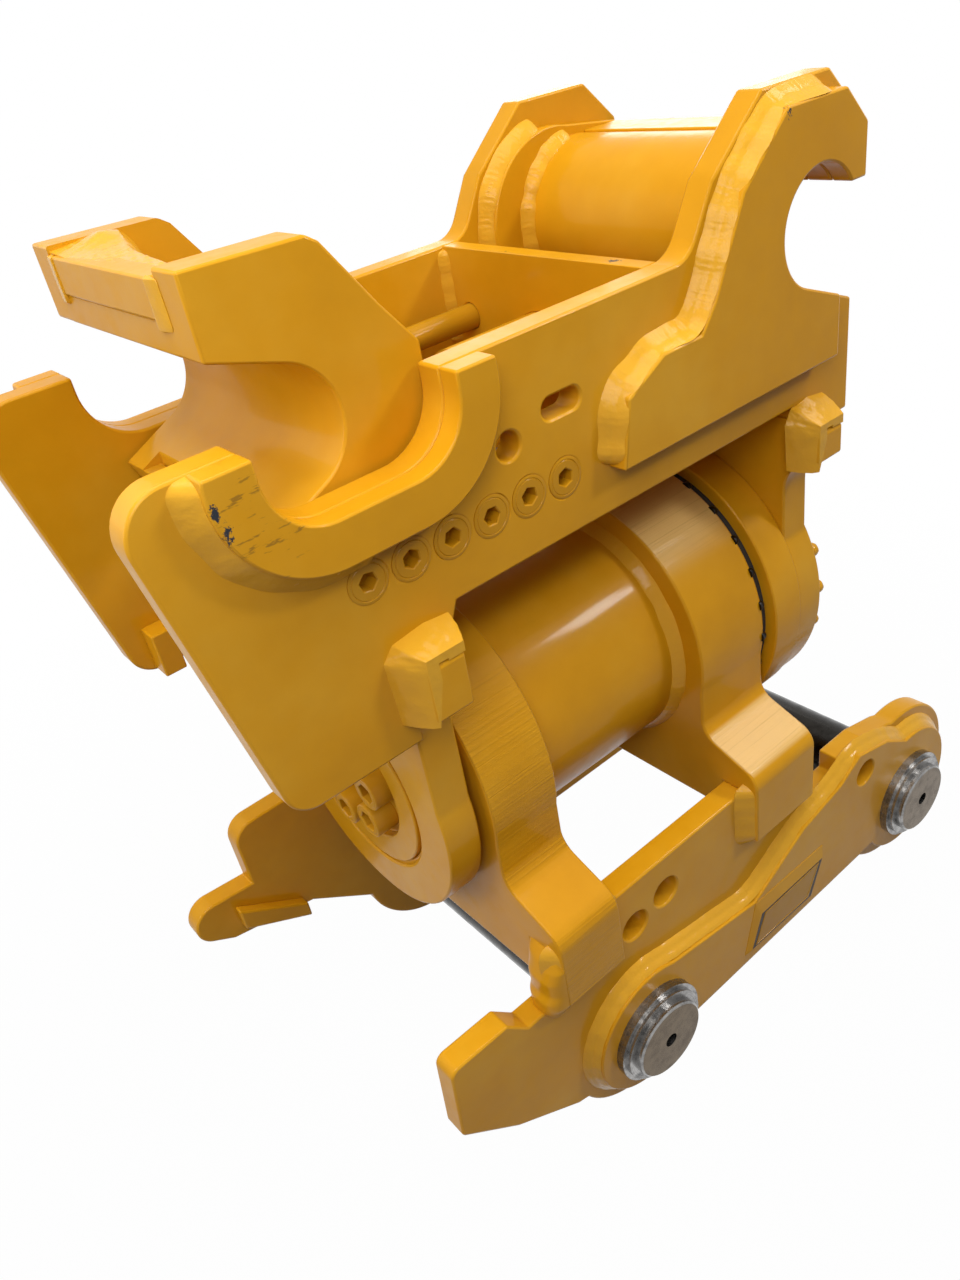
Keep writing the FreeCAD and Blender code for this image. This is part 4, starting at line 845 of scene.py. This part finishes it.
for side in (-1, 1):
    plate_bead(frame_welds, HOOK_EDGE, SIDE_FACE, side, (13.0, 19.0), 11 + side, ripple=0.22, wobble=0.07,
               power=2.1, groove=0.8)
    plate_bead(frame_welds, SADDLE_EDGE, SIDE_FACE, side, (15.0, 15.0), 21 + side, turn=-1.0,
               ripple=0.08, wobble=0.04, power=2.0)
    collar(frame_welds, side, *LEFT_TAB)
    collar(frame_welds, side, *RIGHT_TAB)
    level = side * GUIDE_FACE
    straight_bead(mouth_welds, (CROSS_FACE, level, CROSS_LOW), (CROSS_FACE, level, CROSS_HIGH),
                  (-1, 0, 0), (0, -side, 0), (8.0, 8.0), 51 + side, ripple=0.25, wobble=0.12)
    plate_bead(mouth_welds, OUTER_MOUTH, GUIDE_FACE, side, (12.0, 13.0), 61 + side, turn=-1.0,
               inward=True, ripple=0.35, wobble=0.09)
    plate_bead(mouth_welds, INNER_MOUTH, LINER_FACE, side, (10.0, 10.0), 71 + side, turn=-1.0,
               inward=True, ripple=0.35, wobble=0.09)
frame_welds.piece("frame_welds", "tilt_frame", PAINT_WELD_HIGHLIGHT, "amber_paint")
mouth_welds.piece("mouth_welds", "tilt_frame", PAINT_WELD_HIGHLIGHT, "amber_paint")

# Welds of the bracket
BOSS_EDGE = even(np.vstack((
    arc((0.0, 2.5), 78.0, 246.0, 82.0),
    rounded([(30.0, 74.5), (170, 49), (258, 96), (328, 112), (364, 133), (423, 117), (462, 92)], 22.0),
    arc((PIN_SPACING, 6.0), 84.0, 94.0, 5.0),
)))
FOOT_SEAMS = ((-105, -30, (13.0, 15.0)), (174, 272, (15.0, 15.0)))
SEAM_TOP, SEAM_LOW = 214, 140
TUBE_RADIUS, TUBE_START, TUBE_END = 127.0, -30.0, 174.0
bracket_welds = Pile()
for side in (-1, 1):
    plate_bead(bracket_welds, BOSS_EDGE, CHEEK_FACE, side, (12.0, 14.0), 81 + side, ripple=0.0,
               wobble=0.025, power=1.8, groove=0.9)
    for start, end, legs in FOOT_SEAMS:
        lip = rounded([(start, SEAM_TOP), (start, SEAM_LOW), (end, SEAM_LOW), (end, SEAM_TOP)], 9.0)
        plate_bead(bracket_welds, lip, CHEEK_FACE, side, legs, 91 + start + side, turn=-1.0,
                   ripple=0.08, wobble=0.04, power=2.0)
tube_bead(bracket_welds, TUBE_START, TUBE_RADIUS, 1.0, (5.0, 6.0), 101)
tube_bead(bracket_welds, TUBE_END, TUBE_RADIUS, -1.0, (12.0, 8.0), 102, ripple=0.15)
bracket_welds.piece("bracket_welds", "bracket", PAINT_WELD_HIGHLIGHT, "amber_paint")


LUMP_LOW, LUMP_HIGH = 112.0, 207.0
LUMP_INNER = 178.0
FOOT_LEFT = -104.0


def weld_lump(pile, side):
    """Built-up weld that closes the end of a cheek against the left foot.

    At height z the section is a superellipse of power 2.5 between |Y| = LUMP_INNER and the outer
    reach, and it stands out from the foot's left face by up to 20 mm, with a step at a height of 154.
    """
    height = np.linspace(LUMP_LOW, LUMP_HIGH, 40)
    rise = (height - LUMP_LOW) / (LUMP_HIGH - LUMP_LOW)
    out = np.interp(height, (112, 140, 190, 205), (205.0, 221.0, 221.5, 214.0))
    stand = np.interp(height, (112, 131, 150, 158, 176, 198, 207), (13.0, 20.0, 20.5, 16.5, 17.0, 9.0, 0.5))
    angle = np.radians(np.linspace(0.0, 360.0, 48, endpoint=False))
    shape = np.stack((np.cos(angle), np.sin(angle)))
    shape = np.sign(shape) * np.abs(shape) ** 0.8
    middle = (LUMP_INNER + out) / 2
    x = FOOT_LEFT - np.clip(shape[0], -0.4, 1.0) * stand[:, None]
    y = side * (middle[:, None] + shape[1] * ((out - LUMP_INNER) / 2)[:, None])
    z = height[:, None] + 0.4 * np.sin(rise[:, None] * 40.0 + angle * 2.0)
    pile.grid(np.stack((x, y, z), axis=-1))


lumps = Pile()
for side in (-1, 1):
    weld_lump(lumps, side)
lumps.piece("cheek_end_welds", "bracket", PAINT, "amber_paint")


# Welds of the lock hook
NOSE_FRONT = -217.5
NOSE_FAR, NOSE_NEAR = 94.0, -93.0
NOSE_BOTTOM = 802.0
HEAP, HEAP_Y, HEAP_WIDTH = 6.0, 78.0, 17.0
FALL_REACH, FALL_DROP = 16.0, 28.0


def nose_fill(pile):
    """Rough weld that fills the corner behind the nose plate.

    Rows run across from the far lock plate to the near one. Along each row the skin starts at the
    nose plate's front edge, stays level with its top plus a lumpy sum of sines, and then falls off
    to the throat plate past a back edge that draws in from the far side to the near side. A heap,
    the exponential of a negative square, leans on the far lock plate.
    """
    across = np.linspace(NOSE_FAR, NOSE_NEAR, 60)
    back = np.interp(across, (NOSE_NEAR, 20.0, NOSE_FAR), (-198.0, -186.0, -164.0))
    share = np.linspace(0.0, 1.0, 14)
    x_top = NOSE_FRONT + share * (back[:, None] - NOSE_FRONT)
    lump = (np.sin(x_top * 0.55 + across[:, None] * 0.35) + np.sin(across[:, None] * 0.61 - x_top * 0.2)
            + np.sin(x_top * 0.9 - across[:, None] * 0.13))
    level = np.interp(across, (NOSE_NEAR, -80.0, 60.0, NOSE_FAR), (828.0, 829.5, 832.0, 834.0))
    heap = HEAP * np.exp(-((across[:, None] - HEAP_Y) / HEAP_WIDTH) ** 2 - ((share - 0.72) / 0.30) ** 2)
    z_top = level[:, None] + heap + 0.25 * lump * np.minimum(share * 4.0, 1.0) - 1.2 * (1.0 - share) ** 6
    fall = np.linspace(0.0, 1.0, 9)[1:]
    wander = np.sin(across[:, None] * 0.13 + fall * 2.0) + np.sin(across[:, None] * 0.29 - fall * 3.0)
    x_fall = back[:, None] + FALL_REACH * fall + 0.9 * wander * fall
    z_fall = level[:, None] - FALL_DROP * fall ** 1.6 + 0.5 * wander * fall
    low = np.full((len(across), 1), NOSE_BOTTOM)
    x = np.hstack((x_top, x_fall, x_fall[:, -1:], x_top[:, :1]))
    z = np.hstack((z_top, z_fall, low, low))
    y = np.tile(across[:, None], (1, x.shape[1]))
    pile.grid(np.stack((x, y, z), axis=-1))


# Flat beads at both ends of the nose plate, and short ones under the throat plate
NOSE_SEAM_X, NOSE_SEAM_Y, NOSE_SEAM_LOW, NOSE_SEAM_HIGH = -219.3, 83.5, 797.0, 832.0
THROAT_SEAM_X, THROAT_SEAM_HIGH, THROAT_SEAM_LOW = -195.0, 657.0, 640.0
hook_welds = Pile()
nose_fill(hook_welds)
for side in (-1, 1):
    level = side * NOSE_SEAM_Y
    straight_bead(hook_welds, (NOSE_SEAM_X, level, NOSE_SEAM_LOW), (NOSE_SEAM_X, level, NOSE_SEAM_HIGH),
                  (0, side, 0), (-1, 0, 0), (15.0, 2.8), 111 + side, ripple=0.05, wobble=0.05, power=1.5,
                  nose=0.2)
    level = side * LOCK_SEAM
    straight_bead(hook_welds, (THROAT_SEAM_X, level, THROAT_SEAM_HIGH),
                  (THROAT_SEAM_X, level, THROAT_SEAM_LOW), (0, -side, 0), (1, 0, 0), (6.0, 6.0), 121 + side)
hook_welds.piece("hook_welds", "lock_hook", PAINT_WELD_HIGHLIGHT, "amber_paint")


# Screws, the slit's screw heads and the blank plate
def socket_head(pile, centre, axis, across, radius, skirt, flat, well):
    """Round screw with a hexagon socket, turned about its axis.

    Each ring is (radius, height) along the axis; from the socket's rim inwards the radius follows a
    hexagon, flat / cos(angle from the middle of its side), down to the socket's floor.
    """
    angle = np.radians(np.linspace(0.0, 360.0, 60, endpoint=False))
    hexagon = flat / np.cos((angle + np.pi / 6) % (np.pi / 3) - np.pi / 6)
    one = np.ones(len(angle))
    rings = [(one * r, h) for r, h in skirt]
    rings += [(one * (radius - 1.0), 0.0), (one * (radius - 2.6), 0.0), (one * (radius - 3.1), -0.5),
              (one * (radius - 3.7), 0.0), (hexagon + 0.9, 0.0), (hexagon, -0.8), (hexagon * 0.99, -well),
              (hexagon * 0.35, -well - 0.6)]
    axis, across = np.array(axis, float), np.array(across, float)
    other = np.cross(axis, across)
    round_way = np.cos(angle)[:, None] * across + np.sin(angle)[:, None] * other
    rows = [np.array(centre) + r[:, None] * round_way + h * axis for r, h in rings]
    pile.grid(np.stack(rows))


# Rail screws stand in a row at even pitch, each turned on from the last; skirts are (radius, height)
SCREW_COUNT = 6
RAIL_SCREW_FIRST, RAIL_SCREW_PITCH, RAIL_SCREW_HEIGHT = -163.0, 38.2, 612.5
RAIL_SCREW_SKIRT = [(9.5, -32.0), (10.0, -31.0), (10.0, -9.0), (17.3, -2.0), (17.3, -0.4)]
for side, name in ((-1, "near"), (1, "far")):
    screws = Pile()
    for index in range(SCREW_COUNT):
        turn = math.radians(17.0 + 43.0 * index)
        centre = (RAIL_SCREW_FIRST + RAIL_SCREW_PITCH * index, side * SIDE_FACE, RAIL_SCREW_HEIGHT)
        socket_head(screws, centre, (0, side, 0), (math.cos(turn), 0, math.sin(turn)), 17.4,
                    RAIL_SCREW_SKIRT, 6.6, 13.0)
    screws.piece(name + "_socket_screws", "tilt_frame", PAINT_SCREW, "screw_steel",
                 (name + "_rail_screws",), sharp=28.0)

# Cap screws stand on a circle round the tilt axis
CAP_SCREW_X, CAP_SCREW_CIRCLE = -164.0, 45.0
CAP_SCREW_SKIRT = [(11.5, -62.0), (12.0, -61.0), (12.0, -24.0), (17.6, -24.0), (18.0, -23.4), (18.0, -1.4),
                   (17.6, -0.5)]
caps = Pile()
for index in range(SCREW_COUNT):
    turn = math.radians(-73.0 + 60.0 * index)
    centre = (CAP_SCREW_X, CAP_SCREW_CIRCLE * math.cos(turn), TILT_HEIGHT + CAP_SCREW_CIRCLE * math.sin(turn))
    socket_head(caps, centre, (-1, 0, 0), (0, math.cos(turn * 1.7), math.sin(turn * 1.7)), 18.0,
                CAP_SCREW_SKIRT, 9.6, 12.0)
caps.piece("socket_cap_screws", "tilt_frame", PAINT_FASTENER, "amber_paint", ("cap_screws",), sharp=28.0)


PLATE_CORNERS = np.array([(158.6, -19.5), (271.5, -23.0), (292.0, 26.0), (176.5, 26.8)])
BASE_CORNERS = np.array([(150.0, -23.0), (277.0, -25.0), (294.0, 43.0), (170.0, 47.0)])


def band(inset, out, grow=0.0):
    """One ring of the blank plate's rounded parallelogram, out mm in front of the boss plate.

    inset draws the face's outline in towards its middle, and grow carries it out to the base's.
    """
    middle = PLATE_CORNERS.mean(axis=0)
    shape = PLATE_CORNERS + (BASE_CORNERS - PLATE_CORNERS) * grow
    pull = (middle - shape) / np.linalg.norm(middle - shape, axis=1, keepdims=True)
    shape = shape + pull * inset
    share = np.linspace(0.0, 1.0, 24, endpoint=False)[:, None]
    line = np.vstack([shape[i] + (shape[(i + 1) % 4] - shape[i]) * share for i in range(4)])
    return np.stack((line[:, 0], np.full(len(line), -BOSS_FACE - out), line[:, 1]), axis=1)


DOME_FOOT = 2.0


def domes(pile, places, radius, height):
    """Round heads that stand along X: a dome h = height · sqrt(1 - (r / radius)^2) on a short foot."""
    turn = np.radians(np.linspace(0.0, 360.0, 20, endpoint=False))
    level = np.radians(np.array([0.0, 25.0, 50.0, 72.0]))
    reach = np.concatenate(([radius], radius * np.cos(level)))[:, None]
    rise = np.concatenate(([-DOME_FOOT], height * np.sin(level)))[:, None]
    rise = np.broadcast_to(rise, (len(rise), len(turn)))
    for x, y, z in places:
        pile.grid(np.stack((x + rise, y + reach * np.cos(turn), z + reach * np.sin(turn)), axis=-1))


# The screw heads in the gap between foot and hub are near black as painted shade of the gap
GAP_SCREW_COUNT, GAP_SCREW_X, GAP_SCREW_CIRCLE = 26, 270.5, 154.5
gap_screws = Pile()
around = np.radians(np.arange(GAP_SCREW_COUNT) * 360.0 / GAP_SCREW_COUNT + 3.0)
domes(gap_screws, [(GAP_SCREW_X, GAP_SCREW_CIRCLE * math.cos(a), TILT_HEIGHT + GAP_SCREW_CIRCLE * math.sin(a))
                   for a in around], 5.5, 6.5)
gap_screws.piece("hub_gap_screws", "bracket", SCREW_GAP_SHADE, "screw_steel")

# A leaning base carries a smaller face with a ring of painted shade round its edge, standing for the
# shadow in a groove, then a thin rim and a blank field
plate, groove_shade_ring, field = Pile(), Pile(), Pile()
plate.grid(np.stack([band(0.0, -0.5, 1.0), band(0.0, 0.4, 1.0), band(0.0, 2.6, 0.12), band(0.0, 2.9)]))
groove_shade_ring.grid(np.stack([band(1.5, 2.4), band(1.5, 3.0), band(7.5, 3.0), band(7.5, 2.4)]), loop=True)
field.grid(np.stack([band(7.6, 2.4), band(7.6, 3.1), band(8.4, 3.4), band(10.4, 3.4), band(11.0, 3.0)]))
plate.piece("blank_plate", "bracket", PAINT, "amber_paint", ("name_pad",), sharp=30.0)
groove_shade_ring.piece("blank_plate_groove_shade", "bracket", PAINT_GROOVE_SHADE, "amber_paint", sharp=30.0)
field.piece("blank_plate_field", "bracket", PAINT_FIELD, "amber_paint", sharp=30.0)
